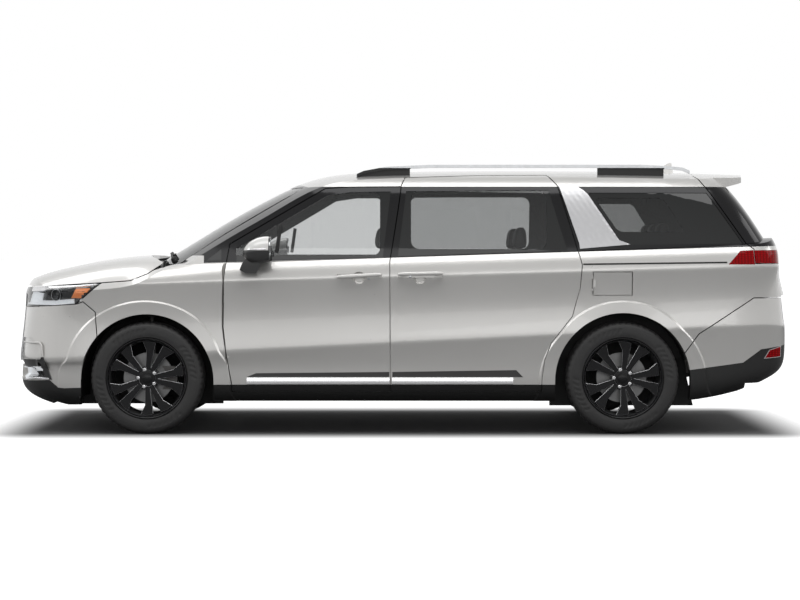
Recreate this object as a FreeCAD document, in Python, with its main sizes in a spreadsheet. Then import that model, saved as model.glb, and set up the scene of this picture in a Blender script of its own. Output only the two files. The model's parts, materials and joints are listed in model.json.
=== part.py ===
# Minivan: a seven-seat family van with hinged front doors, sliding rear doors and a top-hinged tailgate.
# Millimetres. +X points to the tail, -X to the nose, -Y is the driver's (left) side, +Z is up.
# The origin is on the ground, under the middle of the vehicle.
import FreeCAD, Part
import Sketcher
import math
import os

V = FreeCAD.Vector
doc = FreeCAD.newDocument("minivan")

# Driving dimensions
sheet = doc.addObject("Spreadsheet::Sheet", "sizes")
SIZES = [
    ("overall_length", 5156, "bumper to bumper"),
    ("overall_width", 1990, "across the shoulders, without mirrors"),
    ("front_overhang", 935, "nose to front axle"),
    ("rear_overhang", 1131, "rear axle to tail"),
    ("track", 1720, "between the tyres' middles"),
    ("roof_height", 1740, "roof at its crown"),
    ("sill_height", 234, "underside of the sills"),
    ("panel_gap", 6.5, "shut line between panels"),
    ("skin", 34, "hood shell"),
    ("wing", 60, "fender and bumper shells"),
    ("door_flange", 46, "outer part of a door, over the pillars"),
    ("door_thickness", 118, "whole door and body side"),
    ("glass_inset", 4, "glass below the outer surface"),
    ("glass_thickness", 6, "all panes"),
    ("front_arch", 432, "front wheel arch opening"),
    ("rear_arch", 440, "rear wheel arch opening"),
    ("tyre_radius", 365, "tread radius"),
    ("tyre_width", 235, "section width"),
    ("bead_radius", 247, "tyre seat on the rim"),
    ("rim_radius", 262, "rim flange"),
    ("rim_width", 214, "between the rim flanges"),
    ("hub_radius", 76, "wheel centre"),
    ("disc_radius", 163, "brake disc"),
    ("disc_thickness", 28, "brake disc"),
    ("spoke_width", 30, "one spoke of a pair"),
    ("floor_height", 262, "underside of the floor"),
    ("floor_thickness", 30, "floor with its ribs"),
    ("seat_width", 500, "one seat"),
    ("helm_radius", 185, "steering wheel rim"),
    ("rail_depth", 20, "bar of a roof rail"),
    ("flare_height", 12, "wheel arch flares above the body side"),
    ("flare_radius", 503, "outer edge of the flares"),
    ("liner", 6, "wall of the wheel liners"),
]
for line, (alias, value, note) in enumerate(SIZES, start=1):
    sheet.set("A%d" % line, alias)
    sheet.set("B%d" % line, str(value))
    sheet.set("C%d" % line, note)
    sheet.setAlias("B%d" % line, alias)
doc.recompute()


def size(alias):
    return float(getattr(sheet, alias))


LENGTH = size("overall_length")
HALF = size("overall_width") / 2
TRACK = size("track") / 2
ROOF = size("roof_height")
SILL = size("sill_height")
GAP = size("panel_gap")
SKIN = size("skin")
WING = size("wing")
FLANGE = size("door_flange")
DOOR = size("door_thickness")
GLASS_IN = size("glass_inset")
GLASS = size("glass_thickness")
AXLE_Z = size("tyre_radius")
FRONT_ARCH = size("front_arch")
REAR_ARCH = size("rear_arch")
FLOOR = size("floor_height")
FLOOR_TOP = FLOOR + size("floor_thickness")
ARCH_Z = 350
FAR = 3200.0

# Outlines are drawn for one length and roof height, and at_x and at_z fit them to the sizes
NOSE = -2578
FRONT_AXLE = -1643
REAR_AXLE = 1447
TAIL = 2578
DRAWN_ROOF = 1740
STRETCH_FROM = 1150
CEILING = 1692
STATIONS = [
    (NOSE, -LENGTH / 2), (FRONT_AXLE, -LENGTH / 2 + size("front_overhang")),
    (REAR_AXLE, LENGTH / 2 - size("rear_overhang")), (TAIL, LENGTH / 2),
]


def at_x(x):
    if x <= NOSE:
        return x + STATIONS[0][1] - NOSE
    for (x0, real0), (x1, real1) in zip(STATIONS, STATIONS[1:]):
        if x <= x1:
            return real0 + (real1 - real0) * (x - x0) / (x1 - x0)
    return x + STATIONS[-1][1] - TAIL


def at_z(z):
    if z <= STRETCH_FROM:
        return z
    return STRETCH_FROM + (z - STRETCH_FROM) * (ROOF - STRETCH_FROM) / (DRAWN_ROOF - STRETCH_FROM)


def at(x, y, z):
    return V(at_x(x), y, at_z(z))


# Outlines as seen from the side, each point an x and a z
HOOD_LINE = [
    (-2585, 950), (-2549, 982), (-2438, 1036), (-2326, 1068), (-2103, 1116), (-1936, 1143), (-1713, 1166),
    (-1500, 1185),
]
ROOF_LINE = [
    (-1700, 1090), (-1577, 1163), (-1379, 1284), (-1212, 1387), (-1045, 1482), (-878, 1570), (-766, 1624),
    (-655, 1667), (-543, 1699), (-400, 1722), (-200, 1735), (300, 1742), (1000, 1743), (1700, 1738),
    (2239, 1719), (2700, 1700),
]
FRONT_DOOR = [
    (-1094, 279), (-1094, 323), (-1125, 504), (-1147, 700), (-1141, 1020), (-1131, 1107), (-1106, 1237),
    (-489, 1600), (-330, 1610), (90, 1613), (90, 279),
]
FRONT_WINDOW = [(-1062, 1128), (-1066, 1206), (-470, 1556), (-320, 1578), (-60, 1580), (-112, 1152)]
SLIDING_DOOR = [
    (-95, 279), (-95, 1400), (33, 1673), (528, 1690), (966, 1691), (1030, 1620), (1154, 1201), (1180, 1102),
    (1167, 954), (1117, 768), (981, 595), (938, 484), (922, 366), (920, 279),
]
SLIDING_WINDOW = [(-14, 1158), (40, 1582), (972, 1590), (1088, 1196)]
QUARTER_WINDOW = [(1226, 1572), (2008, 1572), (2236, 1240), (1500, 1232), (1420, 1268), (1340, 1370)]
TRIANGLE_WINDOW = [(-1262, 1130), (-1162, 1134), (-1162, 1206)]
HOOD_EDGE = [
    (-2700, 952), (-2450, 955), (-1936, 985), (-1753, 999), (-1640, 1045), (-1560, 1105), (-1532, 1142),
    (-1400, 1250), (-1400, 1400), (-2700, 1400),
]
BUMPER = [
    (-2700, 100), (-2074, 100), (-2074, 350), (-1965, 640), (-1977, 795), (-2057, 862), (-2097, 848),
    (-2470, 822), (-2700, 822),
]
HEADLIGHT = [(-2700, 952), (-2450, 955), (-1936, 985), (-1975, 953), (-2097, 848), (-2470, 822), (-2700, 822)]
TAILGATE = [
    (1925, 1800), (1925, 1700), (1945, 1686), (2030, 1572), (2262, 1232), (2300, 1205), (2307, 1110), (2700, 1110),
    (2700, 1800),
]
REAR_BUMPER = [(1840, 100), (1840, 520), (1939, 655), (2298, 887), (2700, 887), (2700, 100)]
TAIL_LAMP = [(2127, 1104), (2209, 1193), (2296, 1197), (2303, 1104)]
LIGHT_BAR = [(2250, 1108), (2250, 1197), (2700, 1201), (2700, 1111)]
FUEL_FLAP = [(1250, 904), (1250, 1056), (1504, 1056), (1504, 904)]


def mix(a, b, share):
    return a + (b - a) * share


def smooth(a, b, x):
    share = min(1.0, max(0.0, (x - a) / (b - a)))
    return share * share * (3 - 2 * share)


def along(points, x):
    if x <= points[0][0]:
        return points[0][1]
    for (x0, z0), (x1, z1) in zip(points, points[1:]):
        if x <= x1:
            return mix(z0, z1, (x - x0) / (x1 - x0))
    return points[-1][1]


# The three long lines of the side
def shoulder_z(x):
    return 1034 + 0.027 * x - 50 * (1 - smooth(-2560, -2050, x))


def crease_z(x):
    return 594 + 0.048 * x


def belt_z(x):
    return 1152 + 0.034 * x


# Curved surfaces
def clamped(count, degree):
    inner = count - degree - 1
    return [float(i) for i in range(inner + 2)], [degree + 1] + [1] * inner + [degree + 1]


def net_face(rows):
    du = min(3, len(rows) - 1)
    dv = min(3, len(rows[0]) - 1)
    u_knots, u_mults = clamped(len(rows), du)
    v_knots, v_mults = clamped(len(rows[0]), dv)
    surface = Part.BSplineSurface()
    rows = [[at(*pole) for pole in row] for row in rows]
    surface.buildFromPolesMultsKnots(rows, u_mults, v_mults, u_knots, v_knots, False, False, du, dv)
    return surface.toShape()


BLUNT = [(0, 0), (0, 0.34), (35, 0.66), (134, 0.87), (333, 0.965)]
ROUND = [(0, 0), (6, 0.32), (86, 0.64), (205, 0.855), (400, 0.96)]
REAR_CORNER = [(224, 0.97), (86, 0.93), (20, 0.76), (0, 0.42), (0, 0)]


def plan_row(front, rear, width, height, roundness=0.0, front_corner=640, inset=0):
    """Poles of one turn round the left half, from nose to tail; width and height depend on x."""
    front += inset
    rear -= inset
    places = []
    for (blunt_x, blunt_y), (round_x, round_y) in zip(BLUNT, ROUND):
        across = mix(blunt_y, round_y, roundness)
        places.append((front + mix(blunt_x, round_x, roundness) * front_corner / 640, across))
    places.append((front + front_corner, 0.992))
    places += [(x, 1.0) for x in (-1300, -700, 0, 700, 1300, 1750)]
    places.append((rear - 430, 0.995))
    places += [(rear - back, across) for back, across in REAR_CORNER]
    return [V(x, -across * (width(x) - inset), height(x)) for x, across in places]


def wall_solid(rows):
    inboard = net_face(rows).extrude(V(0, FAR, 0))
    return inboard.common(Part.makeBox(2 * FAR, FAR, FAR, V(-FAR, -FAR, -200)))


def lower_rows(inset=0):
    def bonnet(x):
        return 1 - smooth(-1750, -1250, x)

    def tail_lift(x):
        return 130 * smooth(1850, TAIL, x)

    def chin(x):
        return 1 - smooth(-2119, -1812, x)

    side = [
        (NOSE + 190, TAIL - 198, 95, lambda x: SILL - 20 + tail_lift(x) - 34 * chin(x) + inset, 0.2),
        (NOSE + 72, TAIL - 78, 58, lambda x: SILL + 12 + tail_lift(x) - 22 * chin(x) + inset, 0.1),
        (NOSE - 6, TAIL - 18, 42, lambda x: 330 + 0.7 * tail_lift(x) - 30 * chin(x), 0.1),
        (NOSE + 18, TAIL, 42, lambda x: 445 + 0.4 * tail_lift(x), 0.1),
        (NOSE + 6, TAIL - 4, 16, lambda x: crease_z(x) - 26, 0.1),
        (NOSE, TAIL - 10, 8, crease_z, 0.1),
        (NOSE, TAIL - 16, 10, lambda x: crease_z(x) + 26, 0.1),
        (NOSE + 10, TAIL - 30, 22, lambda x: mix(crease_z(x), shoulder_z(x), 0.45), 0.4),
        (NOSE + 14, TAIL - 42, 14, lambda x: mix(crease_z(x), shoulder_z(x), 0.75), 0.8),
        (NOSE + 14, TAIL - 48, 3, lambda x: shoulder_z(x) - 22, 1.0),
        (NOSE + 16, TAIL - 48, 0, shoulder_z, 1.0),
    ]
    rows = []
    for front, rear, tuck, height, roundness in side:
        rows.append(plan_row(front, rear, lambda x, t=tuck: HALF - t, height, roundness, inset=inset))
    upper = [
        (0.3, -60, 14, 30, NOSE + 20, TAIL - 50),
        (0.6, -15, 38, 95, NOSE + 26, TAIL - 60),
        (0.9, 30, 66, 190, NOSE + 40, TAIL - 76),
        (1.15, 50, 90, 330, NOSE + 60, TAIL - 90),
    ]
    for share, lift, tuck, hood_tuck, front, rear in upper:
        def height(x, share=share, lift=lift):
            on_hood = mix(shoulder_z(x), along(HOOD_LINE, x), share)
            return mix(belt_z(x) + lift, on_hood, bonnet(x)) - inset

        def width(x, tuck=tuck, hood_tuck=hood_tuck):
            return HALF - mix(tuck, hood_tuck, bonnet(x))

        rows.append(plan_row(front, rear, width, height, 1.0, inset=inset))
    return rows


def below_hood(inset=0):
    stations = [-2700, -2549, -2438, -2326, -2215, -2103, -1936, -1713, -1500, -1200, -600, 400, 1400, 2750]
    crown = [(0, 0), (300, 0), (520, -14), (700, -44), (860, -112), (1060, -260)]
    rows = []
    for x in stations:
        centre = along(HOOD_LINE, x) if x < -1500 else belt_z(x) + 60
        drop = 1.0 if x < -1600 else 0.35
        rows.append([V(x, -y, centre + fall * drop - inset) for y, fall in crown])
    return net_face(rows).extrude(V(0, 0, -FAR))


def below_roof(inset=0):
    stations = [
        -1800, -1690, -1577, -1379, -1212, -1045, -878, -766, -655, -543, -400, -200, 300, 1000, 1700, 2200, 2750,
    ]
    rows = []
    for x in stations:
        sweep = 1 - smooth(-900, -350, x)
        steep = mix(1.0, 1.2, sweep)
        row = []
        for y in (0, 250, 450, 620, 760, 980):
            fall = mix(62 * (y / 760) ** 2.4, 150 * (y / 870) ** 2, sweep)
            row.append(V(x, -y, along(ROOF_LINE, x) - fall - inset * steep))
        rows.append(row)
    return net_face(rows).extrude(V(0, 0, -FAR))


def cabin_rows(inset=0):
    turns = [
        (900, 62, 2570), (1060, 62, 2535), (1180, 66, 2495), (1300, 84, 2425), (1420, 108, 2350), (1520, 134, 2280),
        (1590, 160, 2225), (1650, 196, 2170), (1695, 250, 2130), (1730, 330, 2090), (1760, 440, 2060),
    ]
    rows = []
    for z, tuck, rear in turns:
        rows.append(plan_row(-1900, rear, lambda x, t=tuck: HALF - t, lambda x, level=z: level, 1.0, 300, inset))
    return rows


def wall_raw(inset):
    """Everything inboard of the upper body's wall, past the middle."""
    return net_face(cabin_rows(inset)).extrude(V(0, FAR, 0))


def pane(outline):
    """Side glass that fills an outline."""
    return side_prism(outline, far=-300).common(wall_raw(GLASS_IN)).cut(wall_raw(GLASS_IN + GLASS))


# Flat-sided helpers
def face_of(points, grow=0.0):
    corners = [at(x, 0, z) for x, z in points]
    face = Part.Face(Part.makePolygon(corners + corners[:1]))
    return face.makeOffset2D(grow, 2) if grow else face


def side_prism(points, grow=0.0, near=-FAR, far=0.0):
    """An outline seen from the side, pushed through from y = near to y = far."""
    face = face_of(points, grow)
    face.translate(V(0, near, 0))
    return face.extrude(V(0, far - near, 0))


def top_prism(points, low=0.0, high=FAR):
    corners = [V(at_x(x), y, low) for x, y in points]
    return Part.Face(Part.makePolygon(corners + corners[:1])).extrude(V(0, 0, high - low))


def box(x0, x1, y0, y1, z0, z1):
    low = at(x0, y0, z0)
    reach = at(x1, y1, z1).sub(low)
    return Part.makeBox(reach.x, reach.y, reach.z, low)


def rod(start, end, radius):
    reach = at(*end).sub(at(*start))
    return Part.makeCylinder(radius, reach.Length, at(*start), reach)


def disc(radius, spot, near=-FAR, far=FAR):
    """A cylinder across the vehicle about a spot given by its x and z."""
    return Part.makeCylinder(radius, far - near, at(spot[0], near, spot[1]), V(0, 1, 0))


def upright(radius, spot, low, high):
    """A cylinder that stands at a spot given by its x and y."""
    return Part.makeCylinder(radius, high - low, at(spot[0], spot[1], low))


def mirrored(shape):
    return shape.mirror(V(0, 0, 0), V(0, 1, 0))


def both(shape):
    return Part.makeCompound([shape, mirrored(shape)])


def joined(shape):
    """A left half and its mirror image as one."""
    return shape.fuse(mirrored(shape)).removeSplitter()


def inside(depth, low=-300.0, start=-FAR, end=FAR):
    """The space inboard of the left body side, flat-walled, at a depth below the widest line."""
    reach = HALF - 20 - depth
    corners = [
        (0, low), (-reach, low), (-reach, 1000), (-reach + 47, 1150), (-reach + 107, 1400), (-reach + 160, 1545),
        (-reach + 225, 1625), (-reach + 335 - depth / 2, CEILING), (0, CEILING),
    ]
    points = [at(start, y, z) for y, z in corners]
    return Part.Face(Part.makePolygon(points + points[:1])).extrude(V(at_x(end) - at_x(start), 0, 0))


def main_solid(shape):
    """The largest solid, without the crumbs that a cut can leave."""
    return max(shape.Solids, key=lambda solid: solid.Volume)


def add(label, shape):
    part = doc.addObject("Part::Feature", label)
    part.Label = label
    part.Shape = shape
    return part


# Front doors: hinge line, and the round edge that follows the swing
HINGE_X = -1115
HINGE_Y = -HALF + 25
HINGE_CLEAR = 40.5
LOW_CLEAR = 13
REAR_EDGE = [(270, 1054), (1120, 1048.5), (1640, 1137)]


def swing_space(grow):
    """What the front door's rear edge sweeps, a can and a cone about the hinge line."""
    (z0, r0), (z1, r1), (z2, r2) = [(at_z(z), at_x(HINGE_X + r) - at_x(HINGE_X) + grow) for z, r in REAR_EDGE]
    can = Part.makeCone(r0, r1, z1 - z0 + 200, at(HINGE_X, HINGE_Y, z0 - 200))
    cone = Part.makeCone(r1, r2, z2 - z1, V(at_x(HINGE_X), HINGE_Y, z1))
    return can.fuse(cone)


FRONT_BOX = [(-1068, 335), (-1068, 1085), (-130, 1110), (-130, 335)]
SLIDING_BOX = [(0, 335), (0, 1115), (1095, 1150), (1105, 960), (1050, 800), (900, 640), (850, 480), (845, 335)]
FRONT_APERTURE = [
    (-1152, 326), (-1152, 1107), (-1130, 1107), (-1106, 1240), (-980, 1290), (-470, 1570),
    (-320, 1585), (-60, 1587), (-112, 1152), (-112, 326),
]
SLIDING_APERTURE = [
    (-14, 326), (-14, 1158), (40, 1590), (972, 1596), (1092, 1200), (1112, 1150), (1120, 960), (1062, 792),
    (912, 632), (862, 476), (857, 326),
]

# The outer form of the left half
lower_body = wall_solid(lower_rows()).common(below_hood())
upper_body = wall_solid(cabin_rows()).common(below_roof())
outer = lower_body.fuse(upper_body)


def flare(axle):
    """The body side moved outboard, within a disc that narrows outboard, so that its edge is a bevel."""
    raised = lower_body.copy()
    raised.translate(V(0, -size("flare_height"), 0))
    reach = size("flare_radius")
    return raised.common(Part.makeCone(reach + 90, reach - 30, 120, at(axle, -HALF + 90, ARCH_Z), V(0, -1, 0)))


outer = outer.multiFuse([flare(FRONT_AXLE), flare(REAR_AXLE)])
NOSE_PLAN = [
    (NOSE + 90, 0), (NOSE + 96, -310), (NOSE + 170, -570), (NOSE + 300, -750), (NOSE + 450, -850),
    (NOSE + 640, -895), (0, -905), (0, 0),
]
NOSE_SECTION = [
    (NOSE + 190, 300), (NOSE + 85, 380), (NOSE + 85, 880), (NOSE + 150, 960), (NOSE + 400, 1000), (0, 1000),
    (0, 300),
]
TAIL_PLAN = [
    (TAIL - 90, 0), (TAIL - 92, -380), (TAIL - 120, -640), (TAIL - 200, -790), (TAIL - 320, -865),
    (TAIL - 430, -890), (0, -905), (0, 0),
]
TAIL_SECTION = [
    (0, 300), (1840, 300), (2100, 370), (TAIL - 250, 440), (TAIL - 90, 520), (TAIL - 90, 860),
    (TAIL - 130, 1050), (TAIL - 160, 1250), (0, 1250),
]
core = top_prism(NOSE_PLAN, -300).common(side_prism(NOSE_SECTION))
core = core.fuse(top_prism(TAIL_PLAN, -300).common(side_prism(TAIL_SECTION)))
flange_space = inside(FLANGE)
pillar_space = inside(FLANGE + GAP)
trim_space = inside(DOOR)

# Cabin as seen from the side: what lies within windshield, roof, tailgate and firewall
CABIN_HALF = HALF - 20 - DOOR
CABIN = [
    (-1500, -300), (-1500, 1110), (-1400, 1200), (-1050, 1412), (-760, 1555), (-560, 1622), (-380, 1668),
    (-200, CEILING),
    (1900, CEILING), (2000, 1630), (2230, 1300), (2380, 1110), (2440, 900), (2440, -300),
]
cabin_space = inside(DOOR).common(side_prism(CABIN))

# Windshield, cowl and hood as seen from above, left half
SCREEN = [
    (-1600, 0), (-1585, -350), (-1530, -640), (-1462, -800), (-690, -640), (-640, -600), (-735, -320), (-762, 0),
]
HOOD_REAR = [(-1713, 0), (-1700, -260), (-1655, -500), (-1590, -700), (-1532, -850), (-1528, -1100)]
COWL = [(x + 9, y) for x, y in HOOD_REAR[:5]]
COWL += [(-1500, -850), (-1462, -800), (-1530, -640), (-1585, -350), (-1600, 0)]
screen_hole = top_prism(SCREEN, 1050)
hood_plan = top_prism([(-2700, 0)] + HOOD_REAR + [(-2700, -1100)], 800)
AHEAD = [
    (-2700, 0), (-1600, 0), (-1585, -350), (-1530, -640), (-1462, -800), (-1528, -850), (-1528, -1100),
    (-2700, -1100),
]
ahead_of_screen = top_prism(AHEAD, 1000)

# Hood: swings about a line through its two rear corners
HOOD_PIVOT = (-1548, 1118)
hood_edge = side_prism(HOOD_EDGE, -GAP / 2)
hood_half = outer.common(hood_edge).common(hood_plan).cut(below_hood(SKIN))
hood_corner = disc(35, HOOD_PIVOT)

# Hood hinges: an eye under each rear corner on a pin between two lugs of the front frame
HOOD_EYE = (-740, -725)
HOOD_LUGS = ((-760, -745.5), (-719.5, -705))
hood_arm = box(-1660, HOOD_PIVOT[0], *HOOD_EYE, HOOD_PIVOT[1] - 18, HOOD_PIVOT[1] + 6)
hood_arm = hood_arm.fuse(disc(12, HOOD_PIVOT, *HOOD_EYE))
hood_bore = disc(6.06, HOOD_PIVOT, -780, -690)
hood_half = hood_half.fuse(hood_arm.common(outer)).cut(hood_bore)
hood_lugs = [box(-1558, -1538, *span, 935, HOOD_PIVOT[1] + 10) for span in HOOD_LUGS]
hood_pin = disc(6, HOOD_PIVOT, HOOD_LUGS[0][0], HOOD_LUGS[1][1])
hood_slot = box(-1600, -1530, HOOD_LUGS[0][1], HOOD_LUGS[1][0], 1000, 1200)
add("hood", joined(hood_half))

# Headlights, bumper and grille
LAMP_INNER = 470
lamp_side = box(-2700, -1900, -1100, -LAMP_INNER, 700, 1000)
lamp_face = outer.common(side_prism(HEADLIGHT)).common(lamp_side)
headlight = outer.common(side_prism(HEADLIGHT, -GAP / 2)).common(lamp_side).cut(core)

GRILLE = [(0, 905), (-400, 905), (-470, 790), (-548, 590), (-500, 430), (0, 430)]
grille_corners = [V(-2700, y, z) for y, z in GRILLE]
grille_hole = Part.Face(Part.makePolygon(grille_corners + grille_corners[:1])).extrude(V(500, 0, 0))
bumper_middle = box(-2700, -2400, -LAMP_INNER, 0, 815, 948)
VALANCE = [
    (-2700, 100), (-2700, 336), (-2511, 336), (-2290, 350), (-2230, 302), (-2190, 298), (-2000, 305),
    (-2000, 100),
]
CORNER_PANEL = [(-2700, 446), (-2348, 446), (-2356, 520), (-2384, 596), (-2416, 622), (-2700, 622)]
FOG_POCKET = [(-2700, 352), (-2288, 352), (-2330, 480), (-2350, 446), (-2700, 446)]
FOG_LAMP = [(-2408, 380), (-2306, 376), (-2316, 412), (-2400, 424)]
POCKET_INNER = 430
PANEL_DEPTH = 14
POCKET_DEPTH = 52


def sunk(depth, zone):
    """What lies in a zone of the lower body when its skin there is moved back and inboard."""
    lowered = lower_body.copy()
    lowered.translate(V(depth, 0.6 * depth, 0))
    return lowered.common(zone)


def beside_grille(outline):
    return side_prism(outline, far=-POCKET_INNER)


bumper_zone = side_prism(BUMPER, -GAP / 2).fuse(bumper_middle)
panel_zone = beside_grille(CORNER_PANEL)
pocket_zone = beside_grille(FOG_POCKET)
bumper_half = outer.common(bumper_zone.cut(panel_zone).cut(pocket_zone))
bumper_half = bumper_half.multiFuse([sunk(PANEL_DEPTH, panel_zone), sunk(POCKET_DEPTH, pocket_zone)])
bumper_half = bumper_half.cut(core).cut(inside(180, start=-2300)).cut(grille_hole)
FRONT_SPOT = (FRONT_AXLE, ARCH_Z)
FRONT_LINER = FRONT_ARCH + 8 + size("liner")
front_arch_cut = disc(FRONT_ARCH, FRONT_SPOT)
under_arch = box(FRONT_AXLE - FRONT_ARCH, FRONT_AXLE + FRONT_ARCH, -FAR, FAR, -100, ARCH_Z)
front_arch_cut = front_arch_cut.fuse(under_arch)
liner_room = disc(FRONT_LINER, FRONT_SPOT, -HALF + 20 + WING, 0)
liner_room = liner_room.fuse(box(FRONT_AXLE - FRONT_LINER, FRONT_AXLE, -HALF + 20 + WING, 0, -100, ARCH_Z))
bumper_half = bumper_half.cut(front_arch_cut).cut(liner_room)
valance_zone = side_prism(VALANCE)
add("front_valance", joined(bumper_half.common(valance_zone)))
add("front_bumper", joined(bumper_half.cut(valance_zone)))
grille_half = outer.common(grille_hole)
grille_half.translate(V(14, 0, 0))
add("grille", joined(main_solid(grille_half.cut(core))))
fog_lamp = sunk(POCKET_DEPTH - 18, beside_grille(FOG_LAMP)).cut(sunk(POCKET_DEPTH, pocket_zone)).cut(core)
fog_lamp = main_solid(fog_lamp)
add("headlights", Part.makeCompound([headlight, fog_lamp, mirrored(headlight), mirrored(fog_lamp)]))

# Fenders
FENDER = [
    (-2450, 100), (-1149, 100), (-1149, 275), (-1060, 275), (-1060, 1100), (-1100, 1108), (-1532, 1142),
    (-1700, 1200), (-2450, 1200),
]
hinge_clear = upright(HINGE_CLEAR, (HINGE_X, HINGE_Y), 700, 1110)
hinge_clear = hinge_clear.fuse(Part.makeCone(LOW_CLEAR, HINGE_CLEAR, 260, at(HINGE_X, HINGE_Y, 440)))
fender_zone = side_prism(FENDER).cut(inside(WING))
fender = outer.common(fender_zone).cut(side_prism(FRONT_DOOR, GAP / 2))
fender = fender.cut(side_prism(HOOD_EDGE, GAP / 2)).cut(side_prism(BUMPER, GAP / 2)).cut(lamp_face)
fender = fender.cut(bumper_middle).cut(front_arch_cut).cut(hinge_clear).cut(hood_corner)
HINGE_HEIGHTS = (560, 880)
STRAP_HALF = 24
for z in HINGE_HEIGHTS:
    around_strap = box(-1180, -1100, HINGE_Y + 38, HINGE_Y + 72, z - STRAP_HALF - 7, z + STRAP_HALF + 7)
    fender = fender.cut(around_strap)
fender = main_solid(fender)
add("fender_left", fender)
add("fender_right", mirrored(fender))

# Front doors
door_space = swing_space(-GAP / 2)
door_clear = swing_space(GAP / 2)
front_zone = side_prism(FRONT_DOOR, -GAP / 2).common(door_space).cut(side_prism(FRONT_WINDOW)).cut(flange_space)
front_box = side_prism(FRONT_BOX).common(flange_space).cut(trim_space)
front_door = outer.common(front_zone).fuse(front_box)
front_pane = pane(FRONT_WINDOW)

# Door handles: a pull bar over a round recess
HANDLE_Z = 1032
HANDLE_HIGH = 24
HANDLE_OUT = 34
RECESS = 46


def handle(x0, x1):
    surface = -HALF + 12
    plan = [
        (x0, surface), (x0 + 12, -HALF - 18), (x0 + 60, -HALF - HANDLE_OUT), (x1 - 60, -HALF - HANDLE_OUT),
        (x1 - 10, -HALF - 20), (x1, surface), (x1 - 34, surface), (x1 - 46, -HALF - 14), (x0 + 46, -HALF - 16),
        (x0 + 34, surface),
    ]
    return top_prism(plan, HANDLE_Z - HANDLE_HIGH / 2, HANDLE_Z + HANDLE_HIGH / 2)


def recess(x):
    return Part.makeCone(RECESS, RECESS - 16, 26, at(x, -HALF - 2, HANDLE_Z - 14), V(0, 1, 0))


front_door = front_door.cut(recess(-265)).fuse(handle(-412, -116))

# Door hinges: a strap from the pillar with an upright pin, in a pocket behind the door's outer skin
PIN = 7
hinge_straps = []
for z in HINGE_HEIGHTS:
    spot = (HINGE_X, HINGE_Y)
    pocket = upright(50, spot, z - STRAP_HALF - 7, z + STRAP_HALF + 7)
    front_door = front_door.cut(pocket.common(inside(10))).cut(upright(PIN + 0.06, spot, z - 62, z + 62))
    front_door = front_door.cut(pocket.common(box(-FAR, FAR, HINGE_Y + 1, 0, 0, FAR)))
    strap = box(-1160, HINGE_X + PIN, HINGE_Y + 45, HINGE_Y + 65, z - STRAP_HALF, z + STRAP_HALF)
    web = box(HINGE_X, HINGE_X + 10, HINGE_Y + 5.5, HINGE_Y + 50, z - STRAP_HALF, z + STRAP_HALF)
    pin = upright(PIN, spot, z - 60, z + 60)
    hinge_straps.append(strap.fuse(web).fuse(pin))
front_door = main_solid(front_door)
add("front_door_left", front_door)
add("front_door_right", mirrored(front_door))
add("front_glass_left", front_pane)
add("front_glass_right", mirrored(front_pane))

# Door mirrors
MIRROR_FOOT = [
    (-1033, 1070), (-1017, 1113), (-985, 1150), (-905, 1150), (-899, 1113), (-910, 1072), (-926, 1047),
    (-999, 1051),
]
MIRROR_FACE = -834
mirror_egg = Part.makeSphere(100)
swell = FreeCAD.Matrix()
swell.scale(1.32, 0.88, 0.88)
mirror_egg = mirror_egg.transformGeometry(swell)
mirror_egg.rotate(V(0, 0, 0), V(0, 1, 0), -14)
mirror_egg.translate(at(-882, -HALF - 37, 1196))
mirror_head = mirror_egg.common(box(-1100, MIRROR_FACE, -FAR, 0, 1118, 1400))
glass_seat = box(MIRROR_FACE - 6, MIRROR_FACE + 10, -HALF - 116, -HALF + 42, 1130, 1264)
mirror_foot = side_prism(MIRROR_FOOT, near=-HALF - 62, far=-HALF + 90)
mirror_piece = main_solid(mirror_head.cut(glass_seat).fuse(mirror_foot).cut(outer))
add("mirror_left", mirror_piece)
add("mirror_right", mirrored(mirror_piece))

# Sliding doors, which reach up to the seam of the roof
ROOF_SEAM = 652
above_seam = box(-900, 2700, -ROOF_SEAM, 0, 1450, 1900)
under_roof = box(-900, 2700, -ROOF_SEAM - GAP, 0, 1450, 1900)
sliding_zone = side_prism(SLIDING_DOOR, -GAP / 2).cut(door_clear).cut(under_roof)
sliding_zone = sliding_zone.cut(side_prism(SLIDING_WINDOW)).cut(flange_space)
sliding_box = side_prism(SLIDING_BOX).common(flange_space).cut(trim_space)
low_runner = box(60, 130, -HALF + 88, -HALF + 118, 326, 345)
mid_runner = box(1090, 1130, -HALF + 84, -HALF + 120, 985, 1035).common(side_prism(SLIDING_APERTURE))
sliding_door = outer.common(sliding_zone).multiFuse([sliding_box, low_runner, mid_runner])
sliding_door = main_solid(sliding_door.cut(recess(130)).fuse(handle(-17, 279)))
add("sliding_door_left", sliding_door)
add("sliding_door_right", mirrored(sliding_door))

# Tailgate: the gap to the roof is round about its hinge line
TAIL_PIVOT = (1925, 1714)
TAIL_SWING = 35
LOW_SIDE = 745
tail_round = disc(TAIL_SWING, TAIL_PIVOT)
roof_round = disc(TAIL_SWING - GAP, TAIL_PIVOT)
tail_low = box(2307, 2700, -LOW_SIDE + GAP / 2, 0, 887 + GAP / 2, 1130)
tail_low_gap = box(2300, 2700, -LOW_SIDE - GAP / 2, 0, 880, 1120)
tail_hole = side_prism(TAILGATE, GAP / 2).cut(roof_round).fuse(tail_low_gap)
REAR_WINDOW = [(0, 1235), (-700, 1228), (-655, 1500), (-600, 1560), (0, 1588)]
rear_corners = [at(1900, y, z) for y, z in REAR_WINDOW]
rear_window_hole = Part.Face(Part.makePolygon(rear_corners + rear_corners[:1])).extrude(V(900, 0, 0))
tail_zone = side_prism(TAILGATE, -GAP / 2).cut(tail_round).fuse(tail_low)
light_half = outer.common(side_prism(LIGHT_BAR, -1)).common(tail_zone).cut(core)
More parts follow.
